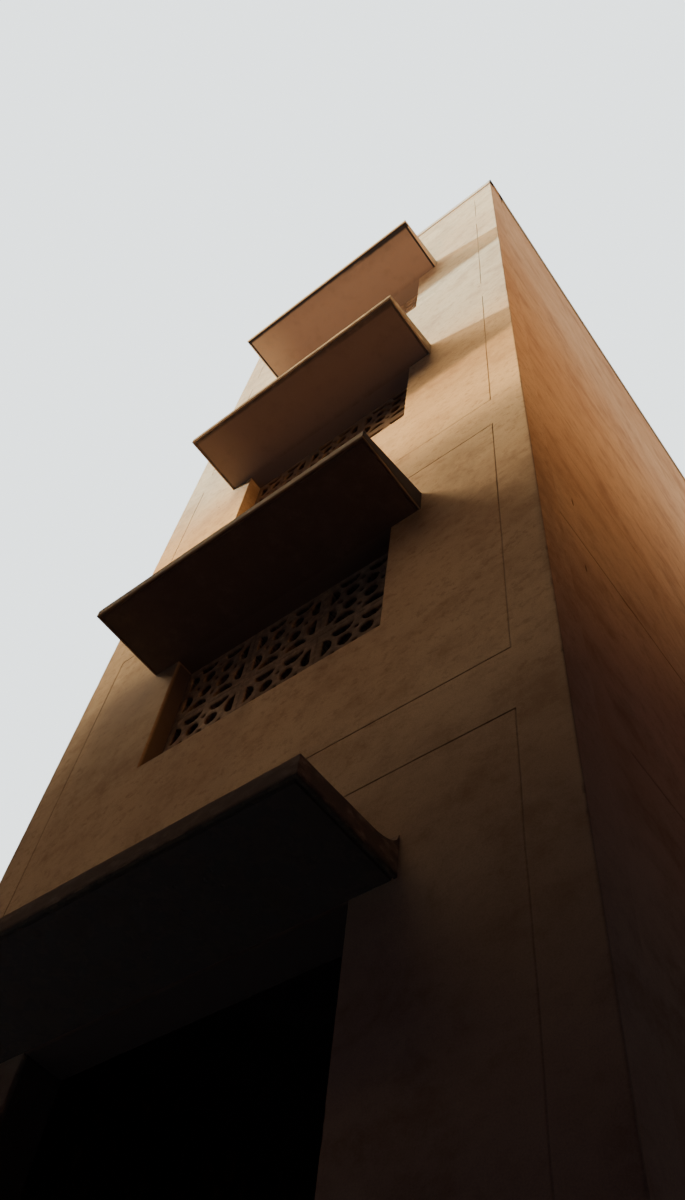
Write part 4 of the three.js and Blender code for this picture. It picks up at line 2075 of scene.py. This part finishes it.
@dataclass
class Studio:
    """A pale floor and backdrop, soft lamps that favour the top as in the photo, the camera."""

    screens: dict[str, list[bpy.types.Object]]
    eye: tuple[float, float, float] = (3.136, -5.2, 1.6)
    heading: float = 46.18
    elevation: float = 57.98
    roll: float = 10.05
    lens: float = 31.12
    lamps: tuple[Lamp, ...] = (
        Lamp("key", SUN, 3.0, 10.4, (1.0, 0.61, 0.27),
             Flag(Side.FRONT, 8.98, 3.0, -0.085, -3.0), SHADED),
        Lamp("key_top", SUN, 3.0, 10.3, (0.0, 0.645, 1.0),
             Flag(Side.FRONT, 10.95, 6.0, 0.0, -3.8), SHADED),
        Lamp("key_low", (0.6, 0.35, -0.62), 20.0, 4.2, (1.0, 0.74, 0.44),
             Flag(Side.FRONT, 7.4, 0.8, -0.05)),
        Lamp("sky_fill", SKY, 30.0, 2.6, (1.0, 0.70, 0.38), Flag(Side.FRONT, 8.85, 2.2, -0.06)),
        Lamp("sky_top", SKY, 30.0, 1.2, (0.35, 0.85, 1.0), Flag(Side.FRONT, 12.3, 2.0)),
        Lamp("low_fill", (0.3, 0.75, -0.6), 40.0, 0.54, (1.0, 0.70, 0.46),
             Flag(Side.FRONT, 4.80, 2.3)),
        Lamp("bounce", GROUND, 16.0, 2.9, (1.0, 0.62, 0.34),
             Flag(Side.FRONT, 13.0, 1.3), SHADED),
        Lamp("bounce_cool", GROUND, 16.0, 0.17, (0.25, 0.6, 1.0),
             Flag(Side.FRONT, 9.9, 1.3), SHADED),
        Lamp("right_fill", FROM_RIGHT, 40.0, 2.35, (1.0, 0.49, 0.185),
             Flag(Side.RIGHT, 10.05, 6.0, 0.76)),
        Lamp("right_low", FROM_RIGHT, 40.0, 0.13, (1.0, 0.22, 0.02), Flag(Side.RIGHT, 5.1, 4.0)),
        Lamp("right_sky", (-0.7, -0.15, -0.7), 50.0, 1.3, (0.72, 0.93, 1.0),
             Flag(Side.RIGHT, 11.7, 3.0, -0.4)),
        Lamp("rear_fill", (0.62, -0.72, -0.20), 20.0, 3.0, (1.0, 0.93, 0.84)),
    )
    floor_lamp: Lamp = Lamp("floor_light", (0.25, 0.15, -1.0), 25.0, 3.4, (1.0, 1.0, 1.0))
    floor_reach: float = 400.0
    floor_grey: Colour = (0.72, 0.70, 0.67)
    ambient_above: Colour = (0.0252, 0.0152, 0.0200)
    ambient_below: Colour = (0.0067, 0.0054, 0.0115)
    backdrop: Colour = (0.86, 0.93, 0.95)
    backdrop_strength: float = 2.6

    def floor(self) -> bpy.types.Object:
        """A wide pale floor at ground level, which throws no light up at the tower.

        Returns:
            The floor.
        """
        reach = self.floor_reach
        mesh = bpy.data.meshes.new("studio_floor")
        corners = [(x * reach, y * reach, 0.0) for x, y in ((-1, -1), (1, -1), (1, 1), (-1, 1))]
        mesh.from_pydata(corners, [], [(0, 1, 2, 3)])
        mesh.materials.append(Paint("studio_floor", 0.9, 0.5).colour(self.floor_grey))
        floor = bpy.data.objects.new("studio_floor", mesh)
        floor.visible_diffuse = False
        bpy.context.scene.collection.objects.link(floor)
        return floor

    def hang(self, floor: bpy.types.Object) -> None:
        """Hangs the lamps. Each lights the tower alone, and only its own flag stands in its way.

        Args:
            floor: the studio's floor, which the tower's lamps leave out.
        """
        wall_low, wall_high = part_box("front_left_pier")[0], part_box("front_right_pier")[1]
        faces = {Side.FRONT: -wall_low.y, Side.RIGHT: wall_high.x}
        built = [lamp.build() for lamp in self.lamps]
        boards = {}
        for lamp in self.lamps:
            if lamp.flag:
                face = faces[lamp.flag.side]
                boards[lamp.name] = lamp.flag.build(f"{lamp.name}_flag", lamp.travel, face)
        for lamp, holder in zip(self.lamps, built):
            passed = [floor, *(board for name, board in boards.items() if name != lamp.name)]
            unlit = [floor, *(block for storey in lamp.skips for block in self.screens[storey])]
            links = holder.light_linking
            links.receiver_collection = link_list(f"{lamp.name}_leaves_out", "EXCLUDE", unlit)
            links.blocker_collection = link_list(f"{lamp.name}_passes", "EXCLUDE", passed)
        links = self.floor_lamp.build().light_linking
        links.receiver_collection = link_list("floor_alone", "INCLUDE", [floor])
        links.blocker_collection = link_list("floor_light_passes", "EXCLUDE", [*boards.values()])

    def surroundings(self) -> None:
        """A pale plain backdrop, and a weak warm light from all around."""
        world = bpy.data.worlds.new("surroundings")
        world.use_nodes = True
        nodes = NodeTree(world.node_tree)
        place = nodes.node("TexCoord").outputs["Generated"]
        height = nodes.node("SeparateXYZ", Vector=place).outputs["Z"]
        rise = nodes.node("MapRange", Value=height, From_Min=-0.15, From_Max=0.25)
        ambient = nodes.mix(rise.outputs["Result"], self.ambient_below, self.ambient_above)
        light = nodes.tree.nodes["Background"]
        nodes.feed(light.inputs["Color"], ambient)
        seen = nodes.node("Background", Color=self.backdrop, Strength=self.backdrop_strength)
        choose = nodes.node("MixShader", Fac=nodes.node("LightPath").outputs["Is Camera Ray"])
        nodes.feed(choose.inputs[1], light.outputs["Background"])
        nodes.feed(choose.inputs[2], seen.outputs["Background"])
        output = nodes.tree.nodes["World Output"]
        nodes.feed(output.inputs["Surface"], choose.outputs["Shader"])
        bpy.context.scene.world = world

    def camera(self) -> None:
        """The camera at the photograph's viewing angle."""
        turn, rise = math.radians(self.heading), math.radians(self.elevation)
        forward = Vector((-math.sin(turn) * math.cos(rise), math.cos(turn) * math.cos(rise),
                          math.sin(rise)))
        level = Vector((math.cos(turn), math.sin(turn), 0.0))
        upright = level.cross(forward)
        lean = math.radians(self.roll)
        right = level * math.cos(lean) + upright * math.sin(lean)
        up = right.cross(forward)
        turned = Matrix((right, up, -forward)).transposed().to_4x4()
        data = bpy.data.cameras.new("camera")
        data.lens = self.lens
        data.sensor_width = 36.0
        data.clip_start = 0.05
        data.clip_end = 2000.0
        camera = bpy.data.objects.new("camera", data)
        camera.matrix_world = Matrix.Translation(Vector(self.eye)) @ turned
        bpy.context.scene.collection.objects.link(camera)
        bpy.context.scene.camera = camera

    def build(self) -> None:
        """Sets up the whole studio."""
        self.hang(self.floor())
        self.surroundings()
        self.camera()


def main() -> None:
    """Builds the studio and every part of the tower."""
    logging.basicConfig(level=logging.INFO, format="%(name)s %(message)s")
    Walls(WallRender().build(), WallRender("side_render", 1.4, 0.45, 0.22).build()).build()
    Canopies(CanopyPaint().build()).build()
    # the right coping in a bluish grey: a painted sky sheen
    side_coping = CopingCement("side_coping_cement", (0.46, 0.52, 0.52), (0.39, 0.43, 0.42))
    Coping(CopingCement().build(), side_coping.build()).build()
    Floors(BareConcrete().build()).build()
    Studio(Screens(ScreenCement().build()).build()).build()


if __name__ == "__main__":
    main()
